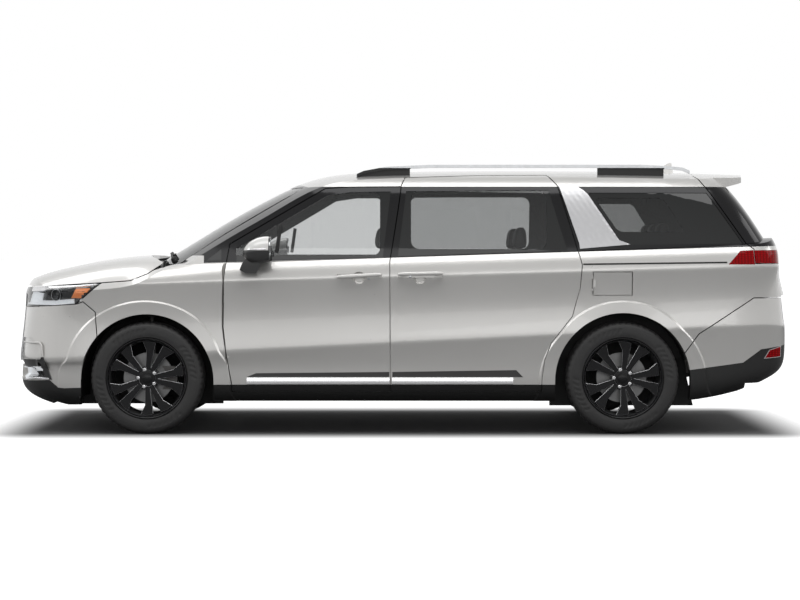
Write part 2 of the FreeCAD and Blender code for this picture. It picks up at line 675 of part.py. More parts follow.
gate_half = outer.common(tail_zone).cut(inside(90).common(side_prism(CABIN)))
PLATE_FACE = 2514
plate_recess = box(PLATE_FACE, 2700, -170, 0, 915, 1050)
plate_bolt = rod((PLATE_FACE - 20, -89, 1000), (PLATE_FACE + 1, -89, 1000), 3)
gate_half = gate_half.cut(light_half).cut(rear_window_hole).cut(plate_recess).cut(plate_bolt)
SPOILER = [(2040, 1585), (2250, 1638), (2300, 1660), (2325, 1680), (2318, 1760), (2030, 1760)]
SPOILER_PLAN = [(1990, 0), (2325, 0), (2308, -350), (2270, -600), (2200, -648), (1990, -690)]
spoiler = side_prism(SPOILER).common(top_prism(SPOILER_PLAN, 1500)).common(below_roof())
gate_half = main_solid(gate_half.fuse(spoiler))

# Tailgate hinges: a pin across a notch in the roof's rear edge, held by an arm on the tailgate
ARM_Y = -150
ARM_WIDE = 16
arm_eye = disc(13, TAIL_PIVOT, ARM_Y, ARM_Y + ARM_WIDE)
arm_bar = box(TAIL_PIVOT[0], TAIL_PIVOT[0] + 46, ARM_Y, ARM_Y + ARM_WIDE, TAIL_PIVOT[1] - 13, TAIL_PIVOT[1] + 3)
tail_pin = disc(6, TAIL_PIVOT, ARM_Y - 7, ARM_Y + ARM_WIDE + 7)
arm_hole = disc(6.06, TAIL_PIVOT, ARM_Y - 7, ARM_Y + ARM_WIDE + 7)
roof_notch = disc(TAIL_SWING, TAIL_PIVOT, ARM_Y - 6, ARM_Y + ARM_WIDE + 6)
gate_half = gate_half.fuse(arm_eye).fuse(arm_bar).cut(arm_hole)
add("tailgate", joined(gate_half))
add("light_bar", joined(light_half))
back_pane = rear_window_hole.common(wall_raw(GLASS_IN)).cut(wall_raw(GLASS_IN + GLASS))
add("tailgate_glass", joined(back_pane))

# Body sides: everything fixed from the hinge pillar to the tail
SIDE = [(-1149, 100), (-1149, 1108), (-1532, 1142), (-1800, 1142), (-1800, 1800), (2700, 1800), (2700, 100)]
REAR_SPOT = (REAR_AXLE, ARCH_Z)
rear_arch_cut = disc(REAR_ARCH, REAR_SPOT)
rear_arch_cut = rear_arch_cut.fuse(box(REAR_AXLE - REAR_ARCH, REAR_AXLE + REAR_ARCH, -FAR, FAR, -100, ARCH_Z))
door_pocket = side_prism(FRONT_DOOR, GAP / 2).common(door_clear).fuse(side_prism(SLIDING_DOOR, GAP / 2))
door_pocket = door_pocket.cut(pillar_space)
tail_lamp = outer.common(side_prism(TAIL_LAMP)).cut(core)


# The fuel flap's hinge line leans with the body side, just outside it
FLAP_X = 1250.2


def flap_line(z):
    return (FLAP_X, -983.1 - 0.11 * (z - 935), z)


flap_hole = side_prism(FUEL_FLAP, GAP / 2, far=-HALF + 80)
flap = outer.common(side_prism(FUEL_FLAP, -GAP / 2)).cut(inside(5))
flap_eye = rod(flap_line(953), flap_line(1007), 3.8)
flap_web = box(FLAP_X, 1266, -990, -972, 955, 1005).cut(rod(flap_line(940), flap_line(1020), 3.4))
flap_eye = flap_eye.fuse(flap_web)
flap = flap.fuse(flap_eye).cut(rod(flap_line(925), flap_line(1035), 2.06))
flap = main_solid(flap)
flap_hole = flap_hole.fuse(box(1241, FLAP_X + 1, -FAR, -HALF + 40, 948, 1012))
body_left = outer.common(side_prism(SIDE)).cut(cabin_space)
body_left = body_left.cut(door_pocket).cut(side_prism(FRONT_APERTURE)).cut(side_prism(SLIDING_APERTURE))
body_left = body_left.cut(hinge_clear).cut(rear_arch_cut).cut(hood_corner).cut(fender_zone)
body_left = body_left.cut(screen_hole).cut(ahead_of_screen)
body_left = body_left.cut(tail_hole).cut(side_prism(REAR_BUMPER, GAP / 2)).cut(tail_lamp)
body_left = body_left.cut(side_prism(QUARTER_WINDOW)).cut(side_prism(TRIANGLE_WINDOW))
body_left = body_left.cut(above_seam)
body_left = main_solid(body_left)
hinge_pillar = box(-1215, -1160, -HALF + 83, -CABIN_HALF, SILL - 20, 1118).common(inside(WING + 1))
pillar_foot = box(-1215, -1120, -HALF + 83, -CABIN_HALF, SILL - 20, 272)
body_left = body_left.multiFuse([hinge_pillar, pillar_foot] + hinge_straps)
add("body_side_right", mirrored(body_left))
flap_pin = rod(flap_line(935), flap_line(1025), 2)
flap_lugs = [box(1241, FLAP_X + 1, -990, -970, z, z + 12) for z in (935, 1013)]
body_left = body_left.cut(flap_hole).multiFuse([flap_pin] + flap_lugs)
add("body_side_left", body_left)
add("fuel_flap", flap)
add("tail_lamps", both(tail_lamp))
side_panes = [pane(outline) for outline in (SLIDING_WINDOW, QUARTER_WINDOW, TRIANGLE_WINDOW)]
add("side_glass", Part.makeCompound(side_panes + [mirrored(one) for one in side_panes]))

# Rear bumper
rear_lip = box(2250, 2700, -FAR, 0, 0, 330)
rear_half = outer.common(side_prism(REAR_BUMPER, -GAP / 2).cut(rear_lip)).cut(core).cut(rear_arch_cut)
rear_half = rear_half.cut(tail_low_gap).cut(inside(DOOR, end=2330))
REAR_VALANCE = [
    (1800, 100), (1800, 412), (1896, 421), (2231, 466), (2350, 552), (2560, 582), (2700, 590), (2700, 100),
]
rear_low = side_prism(REAR_VALANCE)
add("rear_bumper", joined(main_solid(rear_half.cut(rear_low))))
add("rear_valance", joined(main_solid(rear_half.common(rear_low))))

# Roof, windshield and cowl
roof_half = outer.common(above_seam).cut(cabin_space)
roof_half = roof_half.cut(screen_hole).cut(tail_hole).cut(roof_notch).fuse(tail_pin)
add("roof_panel", joined(roof_half))
screen_half = screen_hole.common(below_roof(GLASS_IN)).cut(below_roof(GLASS_IN + GLASS))
add("windshield", joined(screen_half))
cowl_half = top_prism(COWL, 1000, 1400).common(below_hood(40)).cut(below_hood(62))
cowl_half = cowl_half.cut(hood_corner).cut(hood_slot).cut(hood_lugs[0]).cut(hood_lugs[1])
add("cowl", joined(main_solid(cowl_half)))

# Roof rails: a slim bar that comes down to the roof at both ends, on a long foot under each end
RAIL_TOP = [
    (-290, 1700), (-240, 1722), (-93, 1749), (200, 1762), (1590, 1762), (1780, 1753), (1870, 1744), (1918, 1724),
]
RAIL_FEET = [(-284, 66), (1308, 1746)]
RAIL_Y = -654
RAIL_HALF = 20
rail_depth = size("rail_depth")
rail_outline = RAIL_TOP + [(x, z - rail_depth) for x, z in reversed(RAIL_TOP)]
rail_bar = side_prism(rail_outline, near=RAIL_Y - RAIL_HALF, far=RAIL_Y + RAIL_HALF)
under_rail = side_prism(RAIL_TOP + [(1918, 1600), (-290, 1600)])
rail_feet = [box(x0, x1, RAIL_Y - 12, RAIL_Y + 12, 1600, 1790).common(under_rail) for x0, x1 in RAIL_FEET]
rail = rail_bar.multiFuse(rail_feet).cut(outer)
add("roof_rails", both(main_solid(rail)))

# Aerial
FIN = [(1766, 1700), (1766, 1742), (1868, 1803), (1884, 1800), (1896, 1742), (1896, 1700)]
fin_half = side_prism(FIN, near=-15).cut(outer)
add("antenna_fin", joined(fin_half))

# Floor, firewall, rear wheel houses and tail panel
FIREWALL_X = -1190
STEP_X = 950
REAR_FLOOR = 480
FLOOR_END = 2400
PLATE = FLOOR_TOP - FLOOR
HOUSE_INNER = 690
HOUSE_WALL = 14
plates = [
    box(FIREWALL_X, STEP_X, -CABIN_HALF, CABIN_HALF, FLOOR, FLOOR_TOP),
    box(STEP_X, STEP_X + PLATE, -CABIN_HALF, CABIN_HALF, FLOOR, REAR_FLOOR + PLATE),
    box(STEP_X, 2328, -CABIN_HALF, CABIN_HALF, REAR_FLOOR, REAR_FLOOR + PLATE),
    box(FIREWALL_X, FIREWALL_X + PLATE, -CABIN_HALF, CABIN_HALF, FLOOR, 985),
]
tail_end = box(2328, FLOOR_END, -FAR, 0, REAR_FLOOR, REAR_FLOOR + PLATE)
tail_end = tail_end.multiFuse([
    box(FLOOR_END, FLOOR_END + 40, -FAR, 0, 300, 860), box(FLOOR_END + 40, 2600, -600, 0, 300, 560),
])
tail_end = tail_end.common(core).cut(rear_half)
plates += [tail_end, mirrored(tail_end)]
floor = plates[0].multiFuse(plates[1:])
house_out = disc(REAR_ARCH + HOUSE_WALL, REAR_SPOT, -CABIN_HALF, -HOUSE_INNER + HOUSE_WALL)
house_in = disc(REAR_ARCH, REAR_SPOT, -CABIN_HALF, -HOUSE_INNER)
house_out = house_out.common(box(-FAR, FAR, -FAR, 0, REAR_FLOOR, 1200))
floor = floor.fuse(house_out).fuse(mirrored(house_out))
under_house = box(REAR_AXLE - REAR_ARCH, REAR_AXLE + REAR_ARCH, -CABIN_HALF, -HOUSE_INNER, 0, ARCH_Z)
wheel_room = house_in.fuse(under_house)
floor = floor.cut(wheel_room).cut(mirrored(wheel_room))
add("floor_pan", floor)

# Front structure: side rails, crossmember, strut towers and inner wings
RAIL_IN = 375
RAIL_OUT = 455
TOWER_Y = 640
TOWER_Z = 905
BEAM_X = -2420
ARM_X = 35
STEER_LOW = (FRONT_AXLE, -800, 215)
STEER_TOP = (FRONT_AXLE, -TOWER_Y, TOWER_Z)
steer_foot = at(*STEER_LOW)
lean = at(*STEER_TOP).sub(steer_foot)
unit = V(lean).normalize()


def on_axis(z):
    return steer_foot.add(V(lean).multiply((z - STEER_LOW[2]) / lean.z))


pieces = []
for side in (-1, 1):
    y0, y1 = sorted((side * RAIL_IN, side * RAIL_OUT))
    pieces.append(box(BEAM_X, FIREWALL_X, y0, y1, 420, 540))
    y0, y1 = sorted((side * RAIL_IN, side * (HALF - 20 - WING)))
    pieces.append(box(FRONT_AXLE - 130, FRONT_AXLE + 130, y0, y1, TOWER_Z, TOWER_Z + 30))
    y0, y1 = sorted((side * RAIL_IN, side * (RAIL_IN + 40)))
    pieces.append(box(FRONT_AXLE - 130, FRONT_AXLE + 130, y0, y1, 540, TOWER_Z))
front_beam = box(-2700, BEAM_X, -620, 0, 400, 560).common(core)
pieces += [front_beam, mirrored(front_beam)]
mount_foot = on_axis(TOWER_Z - 15)
for side in (-1, 1):
    foot = V(mount_foot.x, -side * mount_foot.y, mount_foot.z)
    up = V(0, -side * lean.y, lean.z)
    pieces.append(Part.makeCylinder(60, 60, foot, up))
for hinge_piece in hood_lugs + [hood_pin]:
    pieces += [hinge_piece, mirrored(hinge_piece)]
front_frame = pieces[0].multiFuse(pieces[1:])
tow_hole = rod((-2540, -560, 480), (-2440, -560, 480), 9)
front_frame = front_frame.cut(tow_hole)
add("front_frame", front_frame)

# Liners over the front wheels, each open where the strut goes through
strut_hole = Part.makeCylinder(76, 260, on_axis(640), unit)
LINER_IN = FRONT_LINER - size("liner")
LINER_FACE = -HALF + 21 + WING
liner = disc(FRONT_LINER, FRONT_SPOT, LINER_FACE, -RAIL_OUT)
liner = liner.fuse(box(FRONT_AXLE - FRONT_LINER, -1192, LINER_FACE, -RAIL_OUT, SILL, ARCH_Z))
liner = liner.cut(disc(LINER_IN, FRONT_SPOT))
liner = liner.cut(box(FRONT_AXLE - LINER_IN, FRONT_AXLE + LINER_IN, -FAR, 0, -FAR, ARCH_Z))
liner = liner.common(box(-FAR, -1192, -FAR, 0, SILL, FAR)).cut(strut_hole)
liner = main_solid(liner.cut(fender).cut(body_left).cut(bumper_half))
add("wheel_liners", both(liner))

# Engine and gearbox as one block, and the exhaust and tank under the floor
engine = box(-2130, -1500, -RAIL_IN, RAIL_IN, 330, 900)
add("engine", engine)
DOWNPIPE_X = -1336
pipe = rod((-1500, 170, 322), (DOWNPIPE_X, 170, 322), 28)
downpipe = rod((DOWNPIPE_X, 170, 340), (DOWNPIPE_X, 170, 214), 28)
pipe = pipe.multiFuse([downpipe, rod((DOWNPIPE_X, 170, 234), (1930, 170, 234), 28)])
riser = rod((1930, 170, 234), (1930, 170, 380), 28)
muffler = box(1880, 2260, -320, 320, 362, REAR_FLOOR)
add("exhaust", pipe.fuse(riser).fuse(muffler))
tank = box(330, 900, -430, 90, 186, FLOOR)
add("fuel_tank", tank)

# Suspension that stays with the body
subframe = box(FRONT_AXLE - 230, FRONT_AXLE + 260, -460, 460, 186, 250)
legs = [box(FRONT_AXLE + dx, FRONT_AXLE + dx + 60, y, y + 60, 250, 420)
        for dx in (-230, 200) for y in (-445, 385)]
arm_plan = [(-ARM_X, -815), (ARM_X, -815), (ARM_X, -600), (150, -450), (-150, -450), (-ARM_X, -600)]
arm = top_prism([(FRONT_AXLE + dx, y) for dx, y in arm_plan], 195, 222)
BALL = 15
socket = Part.makeSphere(BALL + 0.06, steer_foot).fuse(Part.makeCylinder(BALL - 1, 60, steer_foot, unit))
arm = arm.fuse(upright(32, STEER_LOW[:2], 195, 222)).cut(socket)
front_low = subframe.multiFuse(legs + [arm, mirrored(arm)])
add("front_suspension", front_low)

beam = box(REAR_AXLE - 45, REAR_AXLE + 45, -700, 700, 310, 400)
hubs = [rod((REAR_AXLE, side * (TRACK - 16.5), AXLE_Z), (REAR_AXLE, side * 690, AXLE_Z), 45) for side in (-1, 1)]
trailing = [box(STEP_X + PLATE, REAR_AXLE, min(side * 560, side * 620), max(side * 560, side * 620), 310, 370)
            for side in (-1, 1)]
springs = [rod((REAR_AXLE, side * 560, 400), (REAR_AXLE, side * 560, REAR_FLOOR), 62) for side in (-1, 1)]
add("rear_axle", beam.multiFuse(hubs + trailing + springs))

# Steered knuckles with strut and brake caliper
disc_in = size("disc_thickness") / 2 + 4
UPRIGHT_SHAPE = [
    (-812, 238), (-782, 238), (-757, 400), (-712, 540), (-690, 640), (-724, 640), (-742, 560), (-800, 420),
]
upright_corners = [at(FRONT_AXLE - 32, y, z) for y, z in UPRIGHT_SHAPE]
hub_carrier = Part.Face(Part.makePolygon(upright_corners + upright_corners[:1])).extrude(V(64, 0, 0))
ball = Part.makeSphere(BALL, steer_foot).fuse(Part.makeCylinder(9, 45, steer_foot, unit))
damper = Part.makeCylinder(22, on_axis(TOWER_Z - 16).sub(on_axis(600)).Length, on_axis(600), unit)
spring_seat = Part.makeCylinder(58, on_axis(880).sub(on_axis(755)).Length, on_axis(755), unit)
mount_length = on_axis(TOWER_Z - 15).sub(on_axis(TOWER_Z - 40)).Length - 0.5
top_mount = Part.makeCylinder(40, mount_length, on_axis(TOWER_Z - 40), unit)
spindle = rod((FRONT_AXLE, -TRACK + 16.5, AXLE_Z), (FRONT_AXLE, -775, AXLE_Z), 45)
HUB_SPOT = (FRONT_AXLE, AXLE_Z)
caliper = disc(190, HUB_SPOT, -TRACK - 33, -TRACK + 41).cut(disc(118, HUB_SPOT))
caliper = caliper.common(box(FRONT_AXLE + 60, FRONT_AXLE + 260, -1000, -700, AXLE_Z - 75, AXLE_Z + 75))
caliper = caliper.cut(disc(size("disc_radius") + 6, HUB_SPOT, -TRACK - 16, -TRACK + 24))
bracket = box(FRONT_AXLE + 20, FRONT_AXLE + 175, -TRACK + 26, -TRACK + 41, AXLE_Z - 45, AXLE_Z + 45)
knuckle = hub_carrier.multiFuse([ball, damper, spring_seat, top_mount, spindle, caliper, bracket])
add("knuckle_left", knuckle)
add("knuckle_right", mirrored(knuckle))


# Wheels: each a rim with its brake disc, and a tyre, turned about the wheel's own axle
def plane_of(body, role):
    for feature in body.Origin.OriginFeatures:
        if feature.Role == role:
            return feature


def new_sketch(body, name, role, offset=0.0):
    sketch = body.newObject("Sketcher::SketchObject", name)
    sketch.AttachmentSupport = (plane_of(body, role), [""])
    sketch.MapMode = "FlatFace"
    sketch.AttachmentOffset = FreeCAD.Placement(V(0, 0, offset), FreeCAD.Rotation())
    return sketch


ON_AXLE = "on the axle"


def draw_loop(sketch, corners):
    """A closed outline; each corner is a pair of expressions in the sheet's sizes."""
    count = len(corners)
    first = sketch.GeometryCount
    places = []
    for i in range(count):
        turn = -2 * math.pi * i / count
        places.append(V(100 * math.cos(turn), 100 * math.sin(turn), 0))
    for i in range(count):
        sketch.addGeometry(Part.LineSegment(places[i], places[(i + 1) % count]), False)
    for i in range(count):
        follower = first + (i + 1) % count
        sketch.addConstraint(Sketcher.Constraint("Coincident", first + i, 2, follower, 1))
    for i, (across, up) in enumerate(corners):
        number = sketch.addConstraint(Sketcher.Constraint("DistanceX", -1, 1, first + i, 1, places[i].x))
        sketch.setExpression("Constraints[%d]" % number, across)
        if up == ON_AXLE:
            sketch.addConstraint(Sketcher.Constraint("PointOnObject", first + i, 1, -1))
            continue
        number = sketch.addConstraint(Sketcher.Constraint("DistanceY", -1, 1, first + i, 1, places[i].y))
        sketch.setExpression("Constraints[%d]" % number, up)


def revolved(body, name, corners):
    """A ring about the body's Y axis."""
    sketch = new_sketch(body, name + "_profile", "YZ_Plane")
    draw_loop(sketch, corners)
    turn = body.newObject("PartDesign::Revolution", name)
    turn.Profile = sketch
    turn.ReferenceAxis = (sketch, ["H_Axis"])
    turn.Angle = 360
    return turn


TYRE = [
    ("-sizes.tyre_width / 2 + 12", "sizes.bead_radius"),
    ("-sizes.tyre_width / 2 + 12", "sizes.rim_radius"),
    ("-sizes.tyre_width / 2", "sizes.tyre_radius - 66"),
    ("-sizes.tyre_width / 2 + 7", "sizes.tyre_radius - 22"),
    ("-sizes.tyre_width / 2 + 32", "sizes.tyre_radius"),
    ("sizes.tyre_width / 2 - 32", "sizes.tyre_radius"),
    ("sizes.tyre_width / 2 - 7", "sizes.tyre_radius - 22"),
    ("sizes.tyre_width / 2", "sizes.tyre_radius - 66"),
    ("sizes.tyre_width / 2 - 12", "sizes.rim_radius"),
    ("sizes.tyre_width / 2 - 12", "sizes.bead_radius"),
]
BARREL = [
    ("-sizes.rim_width / 2 - 6", "sizes.rim_radius"),
    ("-sizes.rim_width / 2 + 1.5", "sizes.rim_radius"),
    ("-sizes.rim_width / 2 + 1.5", "sizes.bead_radius"),
    ("sizes.rim_width / 2 - 1.5", "sizes.bead_radius"),
    ("sizes.rim_width / 2 - 1.5", "sizes.rim_radius"),
    ("sizes.rim_width / 2 + 6", "sizes.rim_radius"),
    ("sizes.rim_width / 2 + 6", "sizes.rim_radius - 22"),
    ("sizes.rim_width / 2 - 20", "sizes.bead_radius - 14"),
    ("-sizes.rim_width / 2 + 20", "sizes.bead_radius - 14"),
    ("-sizes.rim_width / 2 - 6", "sizes.rim_radius - 22"),
]
HUB = [
    ("-98", ON_AXLE),
    ("-98", "sizes.hub_radius - 26"),
    ("-86", "sizes.hub_radius"),
    ("-12", "sizes.hub_radius"),
    ("-12", "sizes.disc_radius"),
    ("-12 + sizes.disc_thickness", "sizes.disc_radius"),
    ("-12 + sizes.disc_thickness", ON_AXLE),
]
SPOKE = [
    ("6", "sizes.hub_radius - 22"),
    ("47", "sizes.bead_radius - 77"),
    ("40", "sizes.bead_radius - 7"),
    ("78", "sizes.bead_radius - 19"),
    ("118", "sizes.bead_radius - 41"),
    ("47 + 1.45 * sizes.spoke_width", "sizes.bead_radius - 94"),
    ("6 + sizes.spoke_width", "sizes.hub_radius - 32"),
]
WHEEL_TURN = 16
SPOKE_FACE = 102
SPOKE_DEPTH = 30


def wheel(name, end, side):
    x_rule = "-sizes.overall_length / 2 + sizes.front_overhang"
    if end == "rear":
        x_rule = "sizes.overall_length / 2 - sizes.rear_overhang"
    y_rule = "%d * sizes.track / 2" % side
    turned = FreeCAD.Rotation(V(0, 0, 1), 180 if side > 0 else 0)
    turned = turned.multiply(FreeCAD.Rotation(V(0, 1, 0), -WHEEL_TURN))
    rim = doc.addObject("PartDesign::Body", "rim_" + name)
    revolved(rim, "barrel_" + name, BARREL)
    revolved(rim, "hub_" + name, HUB)
    sketch = new_sketch(rim, "spoke_outline_" + name, "XZ_Plane", SPOKE_FACE - SPOKE_DEPTH)
    draw_loop(sketch, SPOKE)
    draw_loop(sketch, [("-(%s)" % across, up) for across, up in reversed(SPOKE)])
    doc.recompute()
    spokes = rim.newObject("PartDesign::Pad", "spokes_" + name)
    spokes.Profile = sketch
    spokes.Length = SPOKE_DEPTH
    ring = rim.newObject("PartDesign::PolarPattern", "spoke_ring_" + name)
    ring.Originals = [spokes]
    ring.Axis = (plane_of(rim, "Y_Axis"), [""])
    ring.Angle = 360
    ring.Occurrences = 5
    rim.Tip = ring
    tyre = doc.addObject("PartDesign::Body", "tyre_" + name)
    revolved(tyre, "tread_" + name, TYRE)
    for body in (rim, tyre):
        body.Label = body.Name
        body.Placement = FreeCAD.Placement(V(0, 0, 0), turned)
        body.setExpression("Placement.Base.x", x_rule)
        body.setExpression("Placement.Base.y", y_rule)
        body.setExpression("Placement.Base.z", "sizes.tyre_radius")


for end in ("front", "rear"):
    wheel(end + "_left", end, -1)
    wheel(end + "_right", end, 1)

# Dashboard with its instrument hood, from firewall to the driver
DASH = [
    (-1430, 985), (-1430, 1045), (-1180, 1085), (-960, 1070), (-880, 1000), (-920, 880), (-1060, 760),
    (FIREWALL_X + PLATE, 760), (FIREWALL_X + PLATE, 985),
]
DASH_HALF = CABIN_HALF - 12
dash = side_prism(DASH, near=-DASH_HALF).common(inside(DOOR + 8))
dash = dash.fuse(mirrored(dash))
console = box(-1010, -330, -130, 130, FLOOR_TOP, 640)
HELM = at(-730, -400, 980)
TILT = 24
COLUMN = 205
toward_driver = V(math.cos(math.radians(TILT)), 0, math.sin(math.radians(TILT)))
column_foot = HELM.sub(V(toward_driver).multiply(COLUMN + 0.5))
dash = dash.cut(Part.makeCylinder(46, 300, column_foot, toward_driver))
shroud = Part.makeCylinder(40, 90, column_foot, V(toward_driver).multiply(-1))
dash = dash.fuse(shroud.common(box(-1100, -800, -500, -300, 800, 1060)))
add("dashboard", dash.fuse(console))

# Steering wheel on its column
helm = doc.addObject("Part::Torus", "helm_rim")
helm.setExpression("Radius1", "sizes.helm_radius")
helm.Radius2 = 16
boss = doc.addObject("Part::Cylinder", "helm_boss")
boss.Radius = 62
boss.Height = 44
boss.Placement = FreeCAD.Placement(V(0, 0, -30), FreeCAD.Rotation())
column = doc.addObject("Part::Cylinder", "helm_column")
column.Radius = 34
column.Height = 175
column.Placement = FreeCAD.Placement(V(0, 0, -205), FreeCAD.Rotation())
arms = []
for turn in (0, 180, 270):
    spoke = doc.addObject("Part::Box", "helm_spoke")
    spoke.setExpression("Length", "sizes.helm_radius - 4")
    spoke.Width = 34
    spoke.Height = 16
    swung = FreeCAD.Rotation(V(0, 0, 1), turn)
    spoke.Placement = FreeCAD.Placement(swung.multVec(V(0, -17, -10)), swung)
    arms.append(spoke)
steering = doc.addObject("Part::MultiFuse", "steering_wheel")
steering.Shapes = [helm, boss, column] + arms
steering.Label = "steering_wheel"
steering.Placement = FreeCAD.Placement(HELM, FreeCAD.Rotation(V(0, 1, 0), 90 - TILT))

# Seats: cushion, back and headrest from one side outline
SEAT = [
    (-470, 250), (-480, 330), (-440, 372), (0, 330), (150, 880), (250, 880), (268, 850), (110, 240), (60, 200),
    (-420, 200),
]
HEADREST = [(152, 900), (170, 1070), (250, 1085), (262, 900)]
BASE = [(-400, 0), (-400, 200), (60, 200), (60, 0)]


def seat(x, y, z, width, height=1.0):
    def placed(outline, half):
        points = [(x + px, z + pz * height) for px, pz in outline]
        return side_prism(points, near=y - half, far=y + half)

    stem = [(190, 850), (190, 905), (215, 905), (215, 850)]
    body = placed(SEAT, width / 2)
    return body.multiFuse([placed(HEADREST, 130), placed(stem, 50), placed(BASE, width / 2 - 60)])


WIDE = size("seat_width")
front_seats = seat(-330, -400, FLOOR_TOP, WIDE)
add("front_seats", both(front_seats))
add("second_row_seats", both(seat(600, -400, FLOOR_TOP, WIDE)))
third = [seat(1560, y, REAR_FLOOR + PLATE, 400, 0.82) for y in (-405, 0, 405)]
add("third_row_seats", Part.makeCompound(third))

# Check every object, then write one file for each sub-part
doc.recompute()
os.makedirs("parts", exist_ok=True)
for part in doc.Objects:
    if "Invalid" in part.State or "Error" in part.State:
        raise RuntimeError("%s did not build" % part.Label)
for part in doc.Objects:
    if part.InList and not part.TypeId == "PartDesign::Body":
        continue
    if part.TypeId not in ("Part::Feature", "Part::MultiFuse", "PartDesign::Body"):
        continue
    shape = part.Shape
    if shape.isNull() or not shape.isValid() or not shape.Solids:
        raise RuntimeError("%s has no sound solid" % part.Label)
    shape.exportStep("parts/%s.step" % part.Label)
    print(part.Label, len(shape.Solids), round(shape.Volume / 1e6, 2))
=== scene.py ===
import bpy
import bmesh
import json
import math
from mathutils import Matrix, Vector
from mathutils.bvhtree import BVHTree
from mathutils.geometry import delaunay_2d_cdt

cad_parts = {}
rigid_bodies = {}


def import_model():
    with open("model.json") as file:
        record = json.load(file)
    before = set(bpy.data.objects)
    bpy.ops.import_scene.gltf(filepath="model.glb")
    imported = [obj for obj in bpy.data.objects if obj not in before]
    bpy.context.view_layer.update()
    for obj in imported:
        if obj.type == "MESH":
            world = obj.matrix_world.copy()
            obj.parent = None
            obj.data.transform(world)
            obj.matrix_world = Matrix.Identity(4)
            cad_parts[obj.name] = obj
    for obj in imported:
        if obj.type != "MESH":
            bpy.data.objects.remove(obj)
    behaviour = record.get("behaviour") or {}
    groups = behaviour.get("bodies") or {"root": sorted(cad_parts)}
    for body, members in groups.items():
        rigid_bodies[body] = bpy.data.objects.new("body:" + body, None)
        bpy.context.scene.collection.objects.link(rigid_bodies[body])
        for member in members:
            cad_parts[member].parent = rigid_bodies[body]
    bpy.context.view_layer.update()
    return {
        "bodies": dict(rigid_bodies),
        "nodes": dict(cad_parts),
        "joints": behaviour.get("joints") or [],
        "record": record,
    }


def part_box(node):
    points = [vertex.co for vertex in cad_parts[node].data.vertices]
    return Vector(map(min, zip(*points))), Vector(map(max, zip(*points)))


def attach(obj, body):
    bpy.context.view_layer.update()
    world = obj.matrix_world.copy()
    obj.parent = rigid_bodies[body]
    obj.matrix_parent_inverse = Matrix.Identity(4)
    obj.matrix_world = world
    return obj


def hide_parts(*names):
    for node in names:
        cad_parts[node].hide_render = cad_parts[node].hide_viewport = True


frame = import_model()
nodes = frame["nodes"]
print("frame loaded:", len(nodes), "nodes")


# Shader maths

def operator(operation, reflected=False):
    def apply(self, other):
        pair = (other, self) if reflected else (self, other)
        return self.maths(operation, *pair)
    return apply


class Wire:
    # wraps a socket, so that shader maths is written as plain expressions
    def __init__(self, finish, socket):
        self.finish, self.socket = finish, socket

    def maths(self, operation, first, second=0.0):
        return self.finish.node("ShaderNodeMath", {"operation": operation}, [first, second])

    __add__, __radd__ = operator("ADD"), operator("ADD", True)
    __sub__, __rsub__ = operator("SUBTRACT"), operator("SUBTRACT", True)
    __mul__, __rmul__ = operator("MULTIPLY"), operator("MULTIPLY", True)
    __gt__, __lt__ = operator("GREATER_THAN"), operator("LESS_THAN")
    __and__, __or__ = operator("MINIMUM"), operator("MAXIMUM")

    def sine(self):
        return self.maths("SINE", self)

    def size(self):
        return self.maths("ABSOLUTE", self)

    def root(self):
        return self.maths("SQRT", self)

    def between(self, low, high, toLow=0.0, toHigh=1.0):
        values = [self, low, high, toLow, toHigh]
        return self.finish.node("ShaderNodeMapRange", {"interpolation_type": "SMOOTHSTEP"}, values)


class Nodes:
    # the nodes of a material or world
    def __init__(self, owner, output):
        owner.use_nodes = True
        self.tree = owner.node_tree
        self.tree.nodes.clear()
        self.output = self.tree.nodes.new(output)

    def put(self, socket, value):
        if isinstance(value, Wire):
            self.tree.links.new(value.socket, socket)
        elif isinstance(value, tuple) and len(value) == 3 and socket.type == "RGBA":
            socket.default_value = (*value, 1.0)
        else:
            socket.default_value = value

    def show(self, shader):
        self.put(self.output.inputs[0], shader)

    def node(self, kind, settings=None, values=(), output=0):
        new = self.tree.nodes.new(kind)
        for key, value in (settings or {}).items():
            setattr(new, key, value)
        for key, value in values.items() if isinstance(values, dict) else enumerate(values):
            self.put(new.inputs[key], value)
        return Wire(self, new.outputs[output])


class Finish(Nodes):
    # one material: constants stay on the shader's own sockets, and what varies comes in by links
    def __init__(self, name, **constants):
        self.material = bpy.data.materials.new(name)
        super().__init__(self.material, "ShaderNodeOutputMaterial")
        self.shader = self.tree.nodes.new("ShaderNodeBsdfPrincipled")
        self.own = Wire(self, self.shader.outputs[0])
        self.show(self.own)
        for key, value in constants.items():
            self.set(key.replace("_", " "), value)

    def set(self, key, value):
        self.put(self.shader.inputs[key], value)

    def place(self):
        return self.node("ShaderNodeTexCoord", output=3)

    def axes(self):
        parts = self.node("ShaderNodeSeparateXYZ", None, [self.place()])
        return [Wire(self, socket) for socket in parts.socket.node.outputs]

    def noise(self, scale, detail=3.0):
        return self.node("ShaderNodeTexNoise", None, {"Scale": scale, "Detail": detail, "Vector": self.place()})

    def cells(self, scale):
        return self.node("ShaderNodeTexVoronoi", None, {"Scale": scale, "Vector": self.place()})

    def blend(self, share, first, second):
        return self.node("ShaderNodeMix", {"data_type": "RGBA"}, {0: share, 6: first, 7: second}, output=2)

    def drift(self, share, first, second, spread, gloss):
        # colour and gloss that change together over the surface
        self.set("Base Color", self.blend(share, first, second))
        self.set("Roughness", share * spread + gloss)

    def bump(self, height, strength, distance):
        values = {"Height": height, "Strength": strength, "Distance": distance}
        self.set("Normal", self.node("ShaderNodeBump", None, values))


def shaded(colour, share):
    return tuple(share * part for part in colour)


# Finishes

